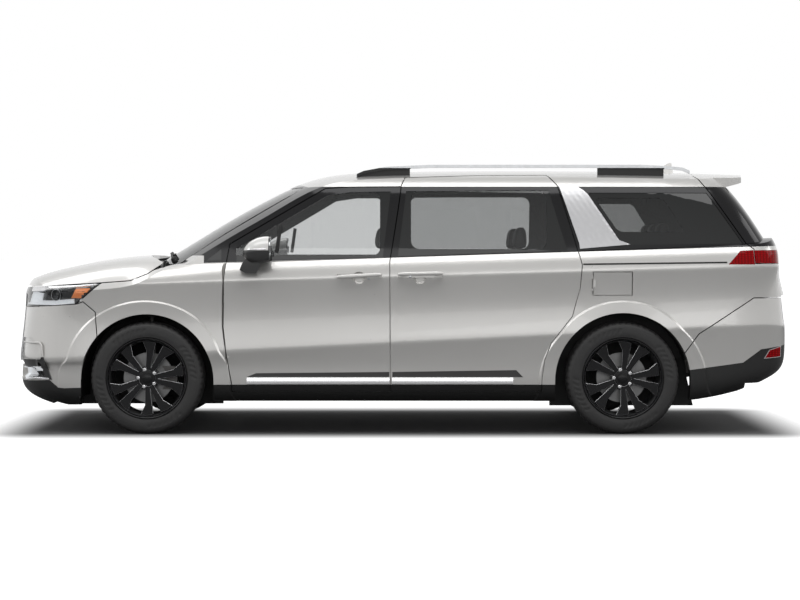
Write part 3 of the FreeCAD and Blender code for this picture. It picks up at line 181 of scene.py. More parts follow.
paintLook = {
    "pearl": (0.66, 0.650, 0.630), "pearlShade": (0.63, 0.620, 0.600), "metal": 0.45,
    "gloss": 0.26, "coatGloss": 0.035, "driftScale": 1.7, "flakeScale": 2600.0,
    "pillar": (0.007, 0.007, 0.008), "pillarGloss": 0.12, "pillarCoatLoss": 0.9,
    "beltHeight": 1.1515, "beltRise": 0.0298,  # lower edge of the black glasshouse
    "headerHeight": 1.613, "headerFrom": -0.61, "headerFall": -0.35,  # its upper edge, which falls towards the nose
    "fenderEnd": -1.275, "fenderTop": 1.162,
    "cladding": (0.013, 0.013, 0.013), "claddingGloss": 0.42, "claddingTop": 0.3235,
}


def sideZones(finish):
    # masks by place on the vehicle: the black glasshouse and the black lower cladding
    look = paintLook
    x, _, z = finish.axes()
    aboveBelt = z > (x * look["beltRise"] + look["beltHeight"])
    fall = (x - look["headerFrom"]) * look["headerFall"]
    belowRoof = z < ((fall | 0.0) + look["headerHeight"])
    behindFender = (x > look["fenderEnd"]) | (z > look["fenderTop"])
    return aboveBelt & belowRoof & behindFender, z < look["claddingTop"]


def paintFinish(name, zoned=False):
    look = paintLook
    finish = Finish(name, Metallic=look["metal"], Coat_Weight=1.0, Coat_Roughness=look["coatGloss"], Coat_IOR=1.5)
    base = finish.blend(finish.noise(look["driftScale"], 2.0), look["pearl"], look["pearlShade"])
    rough = finish.noise(40.0, 4.0) * 0.06 + look["gloss"]
    if zoned:
        glasshouse, cladding = sideZones(finish)
        base = finish.blend(glasshouse, base, look["pillar"])
        base = finish.blend(cladding, base, look["cladding"])
        rough = rough * (1 - glasshouse) + glasshouse * look["pillarGloss"]
        rough = rough * (1 - cladding) + cladding * look["claddingGloss"]
        finish.set("Coat Weight", 1 - (cladding | (glasshouse * look["pillarCoatLoss"])))
    finish.set("Base Color", base)
    finish.set("Roughness", rough)
    finish.bump(finish.noise(900.0, 2.0) * 0.3 + finish.cells(look["flakeScale"]) * 0.12, 0.03, 0.0004)
    return finish.material


def plasticFinish(name, colour, gloss, grainScale=700.0, grain=0.25, coat=0.0, shine=0.5):
    finish = Finish(name, Coat_Weight=coat, Coat_Roughness=0.05, Specular_IOR_Level=shine)
    finish.drift(finish.noise(6.0, 4.0), colour, shaded(colour, 0.82), 0.08, gloss)
    finish.bump(finish.cells(grainScale), grain, 0.0006)
    return finish.material


def metalFinish(name, colour, gloss, brush=0.0):
    finish = Finish(name, Metallic=1.0)
    finish.drift(finish.noise(30.0, 5.0), colour, shaded(colour, 0.86), 0.1, gloss)
    finish.bump(finish.noise(500.0, 3.0), 0.02 + brush, 0.0001)
    return finish.material


glassLook = {
    "clear": (0.96, 0.97, 0.97), "clearShade": (0.90, 0.91, 0.91), "border": (0.010, 0.011, 0.011), "rearFrom": 1.05,
    # see-through parts of the panes: low and high x, low and high z, slants of the ends, corner radius
    "frontPanes": [(-3.039, -0.130, 1.165, 1.578, 1.625, 0.0, 0.045)],
    "rearPanes": [(0.072, 0.955, 1.2045, 1.585, 0.0, 0.0, 0.055), (2.317, 2.684, 1.316, 1.537, -0.68, -0.63, 0.030)],
}


def paneMask(finish, panes):
    # 1 inside the see-through parts of the panes, 0 on their black printed borders
    x, _, z = finish.axes()
    clear = 0.0
    for lowX, highX, lowZ, highZ, slantLow, slantHigh, radius in panes:
        left = x - (z * slantLow + lowX)
        right = (z * slantHigh + highX) - x
        missEnd = radius - ((left & right) & radius)
        missTop = radius - (((highZ - z) & (z - lowZ)) & radius)
        clear = ((missEnd * missEnd + missTop * missTop) < radius * radius) | clear
    return clear


def glassFinish(name, tint, panes=(), rearTint=None):
    # a tinted pane: light passes straight through it, and the rest is gloss
    finish = Finish(name, IOR=1.5, Specular_IOR_Level=0.5, Metallic=1.0)
    gloss = finish.blend(finish.noise(3.0), glassLook["clear"], glassLook["clearShade"])
    finish.set("Roughness", finish.noise(5.0) * 0.015 + 0.005)
    through = finish.node("ShaderNodeBsdfTransparent", None, [tint])
    if rearTint:
        darker = finish.node("ShaderNodeBsdfTransparent", None, [rearTint])
        rearmost = finish.axes()[0] > glassLook["rearFrom"]
        through = finish.node("ShaderNodeMixShader", None, [rearmost, through, darker])
    share = finish.node("ShaderNodeFresnel", None, {"IOR": 1.5})
    if panes:
        clearZone = paneMask(finish, panes)
        gloss = finish.blend(clearZone, glassLook["border"], gloss)
        finish.set("Metallic", clearZone)
        share = share | (1 - clearZone)
    finish.set("Base Color", gloss)
    finish.show(finish.node("ShaderNodeMixShader", None, [share, through, finish.own]))
    return finish.material


def rubberFinish(name):
    finish = Finish(name)
    finish.drift(finish.noise(9.0, 6.0), (0.020, 0.020, 0.021), (0.036, 0.035, 0.034), 0.15, 0.52)
    finish.bump(finish.noise(420.0, 4.0), 0.25, 0.0006)
    return finish.material


def leatherFinish(name, colour):
    finish = Finish(name, Sheen_Weight=0.1)
    creases = finish.noise(60.0, 6.0)
    finish.drift(creases, colour, shaded(colour, 0.7), 0.15, 0.42)
    finish.bump(finish.cells(420.0) * 0.6 + creases * 0.4, 0.35, 0.001)
    return finish.material


def lampRedFinish(name):
    finish = Finish(name, Coat_Weight=0.04, Coat_Roughness=0.03, IOR=1.4, Specular_IOR_Level=0.12)
    x, _, z = finish.axes()
    ribs = ((z * 520.0).sine() * 0.5 + 0.5) * ((x * 300.0).sine() * 0.5 + 0.5)
    finish.drift(ribs, (0.16, 0.001, 0.002), (0.50, 0.002, 0.006), 0.05, 0.06)
    finish.set("Emission Color", (0.30, 0.002, 0.004))
    finish.set("Emission Strength", 0.10)
    finish.bump(ribs, 0.15, 0.001)
    return finish.material


def lightFinish(name, colour, glow):
    finish = Finish(name, Roughness=0.25, Emission_Strength=glow)
    ripple = finish.noise(160.0, 2.0)
    finish.set("Base Color", finish.blend(ripple, colour, shaded(colour, 0.85)))
    finish.set("Emission Color", finish.blend(ripple, colour, shaded(colour, 0.8)))
    finish.bump((finish.axes()[0] * 900.0).sine(), 0.1, 0.0008)
    return finish.material


railLook = {"feet": ((-0.285, 0.07), (1.305, 1.75)), "footTop": 1.741, "foot": (0.012, 0.012, 0.012),
            "silver": (0.62, 0.63, 0.64), "silverShade": (0.54, 0.55, 0.56)}


def railFinish(name):
    # silver bar on black feet
    look = railLook
    finish = Finish(name)
    x, _, z = finish.axes()
    first, last = ((x > low) & (x < high) for low, high in look["feet"])
    foot = (first | last) & (z < look["footTop"])
    smear = finish.noise(30.0, 5.0)
    silver = finish.blend(smear, look["silver"], look["silverShade"])
    finish.set("Base Color", finish.blend(foot, silver, look["foot"]))
    finish.set("Metallic", 1 - foot)
    finish.set("Roughness", smear * 0.1 + 0.26 + foot * 0.2)
    finish.bump(finish.noise(500.0, 3.0), 0.06, 0.0003)
    return finish.material


mirrorLook = {"capFrom": 1.196, "capEnd": -0.845, "cap": (0.82, 0.81, 0.79), "capShade": (0.78, 0.77, 0.75),
              "shell": (0.012, 0.012, 0.012)}


def mirrorFinish(name):
    # painted cap over a black lower shell
    look = mirrorLook
    finish = Finish(name, Coat_Weight=1.0, Coat_Roughness=0.035)
    x, _, z = finish.axes()
    lower = (z < look["capFrom"]) | (x > look["capEnd"])
    drift = finish.noise(paintLook["driftScale"], 2.0)
    pearl = finish.blend(drift, look["cap"], look["capShade"])
    finish.set("Base Color", finish.blend(lower, pearl, look["shell"]))
    finish.set("Roughness", drift * 0.05 + 0.2 + lower * 0.15)
    finish.bump(finish.noise(700.0, 2.0), 0.03, 0.0004)
    return finish.material


# colour and roughness, then for plastics the grain's scale and depth, coat and shine, and for metals the brushing
finishes = {
    "paint": paintFinish("pearlPaint"),
    "side": paintFinish("pearlPaintSide", True),
    "blackGloss": plasticFinish("glossBlack", (0.010, 0.010, 0.011), 0.12, 900.0, 0.02, 1.0),
    "cladding": plasticFinish("grainedBlack", (0.013, 0.013, 0.013), 0.45),
    "rubber": plasticFinish("sealRubber", (0.008, 0.008, 0.008), 0.6, 300.0, 0.1),
    "tyre": rubberFinish("tyreRubber"),
    "chrome": metalFinish("brightChrome", (0.80, 0.81, 0.82), 0.06),
    "satin": metalFinish("satinSilver", (0.60, 0.61, 0.62), 0.28),
    "steel": metalFinish("discSteel", (0.22, 0.22, 0.22), 0.36, 0.1),
    "cast": metalFinish("castIron", (0.16, 0.155, 0.15), 0.55, 0.3),
    "exhaust": metalFinish("dullSteel", (0.25, 0.24, 0.23), 0.5, 0.2),
    "underbody": plasticFinish("underbodyBlack", (0.012, 0.012, 0.012), 0.6, 120.0, 0.3),
    "cabin": plasticFinish("cabinPlastic", (0.022, 0.022, 0.024), 0.5, 520.0, 0.5),
    "seat": leatherFinish("seatLeather", (0.055, 0.053, 0.052)),
    "glass": glassFinish("clearGlass", (0.86, 0.885, 0.88)),
    "frontGlass": glassFinish("frontDoorGlass", (0.86, 0.865, 0.865), glassLook["frontPanes"]),
    "privacy": glassFinish("privacyGlass", (0.72, 0.725, 0.725), glassLook["rearPanes"], (0.60, 0.605, 0.605)),
    "backGlass": glassFinish("backWindowGlass", (0.45, 0.46, 0.46)),
    "lens": glassFinish("clearLens", (0.95, 0.96, 0.97)),
    "bright": lightFinish("whiteLightGuide", (0.88, 0.90, 0.92), 0.35),
    "amber": lightFinish("amberMarker", (0.85, 0.30, 0.10), 0.25),
    "barrel": metalFinish("rimBarrel", (0.20, 0.20, 0.205), 0.45, 0.1),
    "machined": metalFinish("machinedEdge", (0.60, 0.60, 0.61), 0.3),
    "garnish": metalFinish("garnishSilver", (0.56, 0.56, 0.57), 0.34),
    "brightTrim": metalFinish("polishedTrim", (0.88, 0.88, 0.89), 0.16),
    "nut": metalFinish("nutChrome", (0.86, 0.86, 0.87), 0.12),
    # dark plates for the doors' lower recess: painted shadow on body-colour paint
    "scoop": plasticFinish("paintedRecessShadow", (0.050, 0.049, 0.048), 0.4, 900.0, 0.02, 0.2),
    "rails": railFinish("railSilver"),
    "mirror": mirrorFinish("mirrorPaint"),
    "screen": plasticFinish("displayGlass", (0.006, 0.007, 0.009), 0.08, 900.0, 0.01, 1.0),
    "plate": plasticFinish("plateBlank", (0.62, 0.62, 0.60), 0.35, 300.0, 0.05),
    "red": lampRedFinish("redLens"),
    "rim": plasticFinish("rimGlossBlack", (0.008, 0.008, 0.009), 0.22, 1200.0, 0.02, 0.1, 0.25),
}
print("finishes made:", len(finishes))

nodesOf = {
    "side": "body_side_left body_side_right roof_panel fender_left fender_right rear_bumper sliding_door_left "
            "sliding_door_right front_door_left front_door_right tailgate",
    "paint": "front_bumper antenna_fin hood fuel_flap",
    "underbody": "floor_pan front_frame fuel_tank front_suspension rear_axle",
    "cladding": "front_valance rear_valance wheel_liners cowl",
    "blackGloss": "grille", "lens": "headlights", "red": "tail_lamps light_bar", "rails": "roof_rails",
    "glass": "windshield", "privacy": "side_glass", "backGlass": "tailgate_glass",
    "frontGlass": "front_glass_left front_glass_right", "mirror": "mirror_left mirror_right",
    "cabin": "dashboard steering_wheel", "seat": "front_seats second_row_seats third_row_seats",
    "cast": "engine knuckle_left knuckle_right", "exhaust": "exhaust",
    "rim": "rim_front_left rim_front_right rim_rear_left rim_rear_right",
    "tyre": "tyre_front_left tyre_front_right tyre_rear_left tyre_rear_right",
}
for kind, names in nodesOf.items():
    for name in names.split():
        nodes[name].data.materials.clear()
        nodes[name].data.materials.append(finishes[kind])


# Mesh helpers

trees = {}


def toPlace(x, y, z):
    return Matrix.Translation((x, y, z))


def turnedBy(degrees, axis):
    return Matrix.Rotation(math.radians(degrees), 4, axis)


def skinOf(*names):
    # the outer skin of some CAD nodes, to lay trims on
    if names not in trees:
        places, faces = [], []
        for name in names:
            mesh = nodes[name].data
            start = len(places)
            places += [vertex.co.copy() for vertex in mesh.vertices]
            faces += [[start + index for index in face.vertices] for face in mesh.polygons]
        trees[names] = BVHTree.FromPolygons(places, faces)
    return trees[names]


views = {
    "side": (lambda u, v: Vector((u, -1.8, v)), Vector((0, 1, 0))),
    "front": (lambda u, v: Vector((-3.2, u, v)), Vector((1, 0, 0))),
    "back": (lambda u, v: Vector((3.2, u, v)), Vector((-1, 0, 0))),
    "top": (lambda u, v: Vector((u, v, 2.6)), Vector((0, 0, -1))),
}


def onSkin(skin, view, u, v, reach=0.0):
    if reach:  # over a hollow: the outermost place around, and the middle of the normals
        around = [onSkin(skin, view, u + a * reach, v + b * reach) for a in (-1, 0, 1) for b in (-1, 0, 1)]
        start, heading = views[view]
        deep = min((hit - start(u, v)).dot(heading) for hit, _ in around)
        return start(u, v) + heading * deep, sum((normal for _, normal in around), Vector()).normalized()
    start, heading = views[view]
    hit, normal, _, _ = skin.ray_cast(start(u, v), heading)
    if hit is None:
        hit, normal, _, _ = skin.find_nearest(start(u, v) + heading * 0.9)
    if normal.dot(heading) > 0:
        normal = -normal
    return hit, normal


class Shape:
    # gathers the faces of one piece, with a finish for each face
    def __init__(self):
        self.places, self.faces, self.marks, self.kinds = [], [], [], []

    def add(self, places, faces, finish):
        start = len(self.places)
        if finish not in self.kinds:
            self.kinds.append(finish)
        self.places += [Vector(place) for place in places]
        self.faces += [tuple(start + index for index in face) for face in faces]
        self.marks += [self.kinds.index(finish)] * len(faces)
        return self

    def turned(self, matrix, flip=False):
        other = Shape()
        other.places = [matrix @ place for place in self.places]
        other.faces = [tuple(reversed(face)) if flip else face for face in self.faces]
        other.marks, other.kinds = list(self.marks), list(self.kinds)
        return other

    def mirrored(self):
        return self.turned(Matrix.Scale(-1, 4, (0, 1, 0)), True)

    def mesh(self, name, sharp=38.0):
        made = bpy.data.meshes.new(name)
        made.from_pydata([tuple(place) for place in self.places], [], self.faces)
        for kind in self.kinds:
            made.materials.append(finishes[kind])
        made.polygons.foreach_set("material_index", self.marks)
        made.polygons.foreach_set("use_smooth", [True] * len(made.polygons))
        made.update()
        made.set_sharp_from_angle(angle=math.radians(sharp))
        return made

    def put(self, name, body, replaces=(), sharp=38.0):
        return stand(name, self.mesh(name, sharp), body, replaces)

    def putBoth(self, name, body, sharp=38.0):
        # as drawn on the left, mirrored on the right; front_door_%s rides on each side's own door
        for side, shape in (("left", self), ("right", self.mirrored())):
            shape.put(name + side.capitalize(), body % side if "%s" in body else body, (), sharp)


def stand(name, mesh, body, replaces=(), matrix=None):
    piece = bpy.data.objects.new(name, mesh)
    bpy.context.scene.collection.objects.link(piece)
    if matrix is not None:
        piece.matrix_world = matrix
    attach(piece, body)
    if replaces:
        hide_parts(*replaces)
    return piece


def band(rows, closedRow=True, closedRun=False):
    # faces between rows of the same number of points
    count = len(rows[0])
    faces = []
    runs = len(rows) if closedRun else len(rows) - 1
    steps = count if closedRow else count - 1
    for row in range(runs):
        after = (row + 1) % len(rows)
        for step in range(steps):
            near = (step + 1) % count
            faces.append((row * count + step, row * count + near, after * count + near, after * count + step))
    return [place for row in rows for place in row], faces


def capped(rows):
    places, faces = band(rows)
    count = len(rows[0])
    faces.append(tuple(reversed(range(count))))
    faces.append(tuple((len(rows) - 1) * count + step for step in range(count)))
    return places, faces


def lathe(profile, count):
    # turns (across, radius) pairs about the Y axis; the first and last radius may be 0
    rows = []
    for step in range(count):
        angle = 2 * math.pi * step / count
        rows.append([Vector((math.cos(angle) * r, y, math.sin(angle) * r)) for y, r in profile])
    return band(rows, closedRow=False, closedRun=True)


def evenLine(points, step=0.03):
    # straight runs cut into short steps
    dense = []
    for first, second in zip(points, points[1:]):
        runs = max(1, int(math.dist(first, second) / step))
        dense += [tuple(a + (b - a) * run / runs for a, b in zip(first, second)) for run in range(runs)]
    return dense + [tuple(points[-1])]


def roundedSection(width, height, corners=3):
    # a flat bar's outline with rounded upper edges, in (across, up) pairs
    radius = min(width, height) * 0.42
    outline = []
    for cx, cz, first in ((width / 2 - radius, height - radius, 0.0), (-width / 2 + radius, height - radius, 90.0)):
        for step in range(corners + 1):
            angle = math.radians(first + 90.0 * step / corners)
            outline.append((cx + radius * math.cos(angle), cz + radius * math.sin(angle)))
    return outline + [(-width / 2, -height * 0.6), (width / 2, -height * 0.6)]


def sweep(shape, line, normals, section, finish, closed=False, taper=None):
    rows = []
    count = len(line)
    for index in range(count):
        before = line[(index - 1) % count] if closed or index else line[0]
        after = line[(index + 1) % count] if closed or index < count - 1 else line[-1]
        ahead = (after - before).normalized()
        up = (normals[index] - ahead * normals[index].dot(ahead)).normalized()
        across = ahead.cross(up)
        share = taper(index / max(count - 1, 1)) if taper else 1.0
        rows.append([line[index] + across * a * share + up * b * share for a, b in section])
    places, faces = band(rows, True, closed) if closed else capped(rows)
    shape.add(places, [tuple(reversed(face)) for face in faces], finish)
    return shape


def strip(shape, skin, view, points, step, size, finish, lift=0.0, closed=False, taper=(1.0, 1.0), facing=None,
          reach=0.0):
    # a bar, size (width, height), that follows the skin along straight runs between points drawn in that view
    line = evenLine(points + points[:1], step)[:-1] if closed else evenLine(points, step)
    spots = [onSkin(skin, view, u, v, reach) for u, v in line]
    places = [spot + normal * lift for spot, normal in spots]
    normals = [Vector(facing) if facing else normal for _, normal in spots]
    start, end = taper
    section = roundedSection(*size)
    return sweep(shape, places, normals, section, finish, closed, lambda share: start + (end - start) * share)


def insideOf(outline, u, v):
    inside = False
    for (x0, z0), (x1, z1) in zip(outline, outline[1:] + outline[:1]):
        if (z0 > v) != (z1 > v) and u < (x1 - x0) * (v - z0) / (z1 - z0) + x0:
            inside = not inside
    return inside


def patch(shape, skin, view, outline, finish, lift=0.003, depth=0.004, step=0.02, relief=None, reach=0.0):
    # a thin plate over the skin, inside an outline drawn in that view
    loop = evenLine(list(outline) + [outline[0]], step)[:-1]
    low = [min(place[axis] for place in loop) for axis in (0, 1)]
    high = [max(place[axis] for place in loop) for axis in (0, 1)]
    flat = [Vector(place) for place in loop]
    u = low[0] + step / 2
    while u < high[0]:
        v = low[1] + step / 2
        while v < high[1]:
            near = min((u - a) ** 2 + (v - b) ** 2 for a, b in loop)
            if near > (0.45 * step) ** 2 and insideOf(loop, u, v):
                flat.append(Vector((u, v)))
            v += step
        u += step
    edges = [(index, (index + 1) % len(loop)) for index in range(len(loop))]
    flat, _, faces, _, _, _ = delaunay_2d_cdt(flat, edges, [list(range(len(loop)))], 1, 1e-6)
    spots = [onSkin(skin, view, place.x, place.y, reach) for place in flat]
    upper = []
    for place, (spot, normal) in zip(flat, spots):
        rise = lift + (relief(place.x, place.y) if relief else 0.0)
        upper.append(spot + normal * rise)
    lower = [spot + normal * (lift - depth) for spot, normal in spots]
    count = len(flat)
    heading = views[view][1]
    first = faces[0]
    facing = (upper[first[1]] - upper[first[0]]).cross(upper[first[2]] - upper[first[0]]).dot(heading)
    faces = [tuple(face) if facing < 0 else tuple(reversed(face)) for face in faces]
    used = {}
    for face in faces:
        for a, b in zip(face, face[1:] + face[:1]):
            used[(a, b)] = True
    rim = [(a, b) for a, b in used if (b, a) not in used]
    shape.add(upper + lower, faces + [tuple(count + index for index in reversed(face)) for face in faces], finish)
    shape.add(upper + lower, [(b, a, count + a, count + b) for a, b in rim], finish)
    return shape


def ring(shape, centre, axis, profile, count, finish):
    # a turned form about any axis: (along, radius) pairs
    places, faces = lathe(profile, count)
    toAxis = Vector((0, 1, 0)).rotation_difference(Vector(axis)).to_matrix()
    shape.add([Vector(centre) + toAxis @ place for place in places], faces, finish)
    return shape


def block(shape, corners, depth, finish, bevel=0.004, matrix=None, segments=2, roundness=0.6, low=0.0):
    # an outline in X and Z, pushed along Y, with rounded edges
    work = bmesh.new()
    rims = [work.verts.new((x, low, z)) for x, z in corners]
    face = work.faces.new(rims)
    pushed = bmesh.ops.extrude_face_region(work, geom=[face])
    moved = [item for item in pushed["geom"] if isinstance(item, bmesh.types.BMVert)]
    bmesh.ops.translate(work, verts=moved, vec=(0.0, depth, 0.0))
    bmesh.ops.recalc_face_normals(work, faces=work.faces[:])
    if bevel:
        bmesh.ops.bevel(work, geom=work.edges[:], offset=bevel, segments=segments, profile=roundness,
                        affect="EDGES")
    work.verts.index_update()
    places = [matrix @ vert.co if matrix else vert.co.copy() for vert in work.verts]
    faces = [[vert.index for vert in item.verts] for item in work.faces]
    work.free()
    shape.add(places, faces, finish)
    return shape


def knob(shape, skin, view, at, profile, count, finish, reach=0.0):
    # a turned form that stands on the skin
    spot, normal = onSkin(skin, view, *at, reach)
    return ring(shape, spot, normal, profile, count, finish)


def laid(look, skin=None):
    # a shape of strips, patches and knobs on the skin of the nodes that the look names
    shape = Shape()
    if skin is None:
        skin = skinOf(*look["skin"])
    for row in look["rows"]:
        make = strip if "size" in row else knob if "profile" in row else patch
        make(shape, skin, **{"view": look.get("view", "side"), "reach": look.get("reach", 0.0), **row})
    return shape


def layPieces(looks):
    # on both sides of the vehicle, or once where the look says single
    for name, look in looks.items():
        place = laid(look).put if look.get("single") else laid(look).putBoth
        place(name, look.get("body", "chassis"))


# Wheels and tyres

tyreLook = {
    "radius": 0.365, "rows": 216, "rowsPerPitch": 4, "grooves": (-0.054, -0.019, 0.019, 0.054), "grooveDepth": 0.0065,
    "grooveHalf": 0.004, "grooveFoot": 0.55, "ribMiddle": 0.0175,
    "shoulder": 0.062, "shoulderFrom": 0.350, "wallFrom": 0.1, "shoulderCut": 0.85, "wallCut": 0.5,
    "sipeHalf": 0.05, "sipeFrom": 0.364, "sipeDepth": 0.0025,
    "hatch": (0.285, 0.325), "hatchStart": 0.283, "hatchPitch": 0.009, "hatchRows": 27, "hatchShare": 0.968,
    "side": [(0.1055, 0.250), (0.1062, 0.262), (0.1092, 0.266), (0.1140, 0.268), (0.1160, 0.274), (0.1160, 0.279),
             (0.1168, 0.281), (0.1175, 0.297), (0.1174, 0.309), (0.1168, 0.318), (0.1158, 0.326), (0.1148, 0.3265),
             (0.1142, 0.333), (0.1120, 0.340), (0.1085, 0.347), (0.1030, 0.3535), (0.0960, 0.3585), (0.0890, 0.3618),
             (0.0800, 0.3640), (0.0700, 0.3648)],
}


def makeTyre():
    look = tyreLook
    top, deep, pitch = look["radius"], look["radius"] - look["grooveDepth"], look["rowsPerPitch"]
    profile = [(-y, r) for y, r in look["side"]]
    for centre in look["grooves"]:
        half, foot = look["grooveHalf"], look["grooveHalf"] * look["grooveFoot"]
        profile += [(centre - half, top), (centre - foot, deep), (centre + foot, deep), (centre + half, top)]
        if centre < look["grooves"][-1]:
            profile.append((centre + look["ribMiddle"], top))
    profile += list(reversed(look["side"]))
    rows = []
    for step in range(look["rows"]):
        angle = 2 * math.pi * step / look["rows"]
        row = []
        for y, r in profile:
            reach, across = r, y
            if step % pitch == 0 and abs(y) > look["shoulder"] and r > look["shoulderFrom"]:
                reach = r - look["grooveDepth"] * look["shoulderCut" if abs(y) < look["wallFrom"] else "wallCut"]
            elif step % pitch == 2 and abs(y) < look["sipeHalf"] and r > look["sipeFrom"]:
                reach = r - look["sipeDepth"]
            slant = int((r - look["hatchStart"]) / look["hatchPitch"])
            low, high = look["hatch"]
            if low < r < high and (step // look["hatchRows"]) % 4 in (0, 2) and ((step + slant) // 2) % 2:
                across = y * look["hatchShare"]
            row.append(Vector((math.cos(angle) * reach, across, math.sin(angle) * reach)))
        rows.append(row)
    shape = Shape().add(*band(rows, True, True), "tyre")
    shape.faces = [tuple(reversed(face)) for face in shape.faces]
    return shape.mesh("tyreDetail", 42.0)


rimLook = {
    "turn": -16.0, "pairs": 5, "face": -0.102, "depth": 0.030, "edge": 0.0014,
    # the spokes sink towards the hub and again at the rim: by how much, from which radius and over what length
    "hubDish": (0.011, 0.05, 0.15), "rimDish": (0.004, 0.2, 0.04),
    "brightTilt": (-0.93, -0.25), "brightDepth": 0.02,
    "nutCircle": 0.058, "nutRadius": 0.0150, "nut": ((-0.1045, 0.62), (-0.1015, 0.9), (-0.0990, 1.0), (-0.0860, 1.0)),
    "spoke": [(0.006, 0.054), (0.047, 0.170), (0.040, 0.2405), (0.078, 0.2285), (0.118, 0.206), (0.0905, 0.153),
              (0.036, 0.044)],
    "profile": [(-0.1075, 0.2615), (-0.1128, 0.2618), (-0.1150, 0.2600), (-0.1155, 0.2575), (-0.1135, 0.2548),
                (-0.1080, 0.2520), (-0.1000, 0.2470), (-0.0850, 0.2420), (-0.0500, 0.2360), (0.0850, 0.2330),
                (0.1060, 0.2400), (0.1130, 0.2615), (0.1060, 0.2615), (0.1040, 0.2475), (-0.1040, 0.2475)],
    "bands": {(2, 3): "rim", (6, 7, 8, 9): "barrel"},  # runs of the profile with edges of their own: lip and barrel
    "turnings": {  # each turned form's profile, divisions and finish
        "hub": ([(-0.0905, 0.0), (-0.0905, 0.052), (-0.0885, 0.066), (-0.0830, 0.0765), (-0.0700, 0.078),
                 (-0.012, 0.078)], 72, "rim"),
        "brake": ([(-0.012, 0.070), (-0.012, 0.1625), (-0.0035, 0.163), (-0.0025, 0.156), (0.0065, 0.156),
                   (0.0075, 0.163), (0.016, 0.1625), (0.016, 0.0)], 96, "steel"),
        "cap": ([(-0.1015, 0.0), (-0.1010, 0.016), (-0.0990, 0.026), (-0.0960, 0.0315), (-0.0900, 0.033)], 48, "rim"),
    },
}


def addSpoke(shape, mirror, turn):
    look = rimLook
    work = Shape()
    block(work, look["spoke"], look["depth"], "rim", look["edge"], toPlace(0, look["face"], 0), 1)
    hubDish, hubFrom, hubSpan = look["hubDish"]
    rimDish, rimFrom, rimSpan = look["rimDish"]
    places = []
    for place in work.places:
        reach = math.hypot(place.x, place.z)
        dish = hubDish * (1 - min(max((reach - hubFrom) / hubSpan, 0.0), 1.0))
        dish += rimDish * max(0.0, (reach - rimFrom) / rimSpan)
        places.append(Vector((-place.x if mirror else place.x, place.y + dish, place.z)))
    faces = [tuple(reversed(face)) if mirror else face for face in work.faces]
    plain, bright = [], []  # the bevelled front edges are machined bright
    low, high = look["brightTilt"]
    for face in faces:
        a, b, c = (places[face[index]] for index in (0, 1, 2))
        normal = (b - a).cross(c - b).normalized()
        middle = sum((places[index].y for index in face), 0.0) / len(face)
        edge = low < normal.y < high and middle < look["face"] + look["brightDepth"]
        (bright if edge else plain).append(face)
    places = [turn @ place for place in places]
    shape.add(places, plain, "rim")
    shape.add(places, bright, "machined")


def addNut(shape, angle):
    look = rimLook
    x, z = math.cos(angle) * look["nutCircle"], math.sin(angle) * look["nutCircle"]
    corners = [(math.cos(math.pi * step / 3), math.sin(math.pi * step / 3)) for step in range(6)]
    rows = []
    for y, share in look["nut"]:
        radius = look["nutRadius"] * share
        rows.append([Vector((x + a * radius, y, z + b * radius)) for a, b in corners])
    shape.add(*capped(rows), "nut")


def makeRim():
    look = rimLook
    shape = Shape()
    for pair in range(look["pairs"]):
        turn = turnedBy(360.0 / look["pairs"] * pair, "Y")
        addSpoke(shape, False, turn)
        addSpoke(shape, True, turn)
    places, faces = lathe(look["profile"], 120)
    count = len(look["profile"])
    apart = [run for runs in look["bands"] for run in runs]
    shape.add(places, [face for face in faces if face[0] % count not in apart], "rim")
    for runs, finish in look["bands"].items():
        shape.add(places, [face for face in faces if face[0] % count in runs], finish)
    for profile, count, finish in look["turnings"].values():
        shape.add(*lathe(profile, count), finish)
    for nut in range(look["pairs"]):
        addNut(shape, math.radians(90.0 + 360.0 / look["pairs"] * nut))
    return shape.mesh("rimDetail", 30.0)


def makeWheels():
    tyre, rim = makeTyre(), makeRim()
    for corner in ("front_left", "front_right", "rear_left", "rear_right"):
        low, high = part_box("rim_" + corner)
        seat = toPlace(*((low + high) / 2))
        if "right" in corner:
            seat = seat @ turnedBy(180, "Z")
        turned = seat @ turnedBy(rimLook["turn"], "Y")
        name = corner.replace("_l", "L").replace("_r", "R")
        stand(name + "Tyre", tyre, "wheel_" + corner, ["tyre_" + corner], seat)
        stand(name + "Rim", rim, "wheel_" + corner, ["rim_" + corner], turned)


makeWheels()
print("wheels made")


# Lamps

headlampLook = {
    "inset": 0.012, "above": 0.7,
    "headlampLight": {"rows": [
        dict(points=[(-2.415, 0.852), (-2.25, 0.854), (-2.115, 0.866)], step=0.02, size=(0.030, 0.008), finish="bright"),
        dict(outline=[(-2.455, 0.848), (-2.345, 0.852), (-2.330, 0.915), (-2.420, 0.925)], finish="bright",
             lift=0.006, depth=0.008, step=0.012),
        dict(view="front", points=[(-0.86, 0.846), (-0.72, 0.844), (-0.56, 0.842)], step=0.02, size=(0.014, 0.007),
             finish="bright"),
        dict(outline=[(-2.135, 0.886), (-2.060, 0.884), (-2.012, 0.945), (-2.106, 0.942)], finish="amber",
             lift=0.006, depth=0.005, step=0.015),
    ]},
    "headlampBeam": {"rows": [
        dict(at=(-2.237, 0.905), profile=[(0.0, 0.0391), (0.010, 0.03808), (0.010, 0.034), (0.002, 0.03162)],
             count=40, finish="chrome"),
        dict(at=(-2.237, 0.905), profile=[(0.001, 0.0323), (0.0075, 0.0204), (0.0095, 0.0)], count=40, finish="lens"),
    ]},
}
headlampTrims = {
    "headlampStrip": {"skin": ["headlights"], "rows": [
        dict(points=[(-2.42, 0.936), (-2.30, 0.944), (-2.10, 0.958), (-1.955, 0.972)], step=0.02, size=(0.034, 0.007),
             finish="brightTrim", lift=0.003, taper=(1.0, 0.4)),
    ]},
}


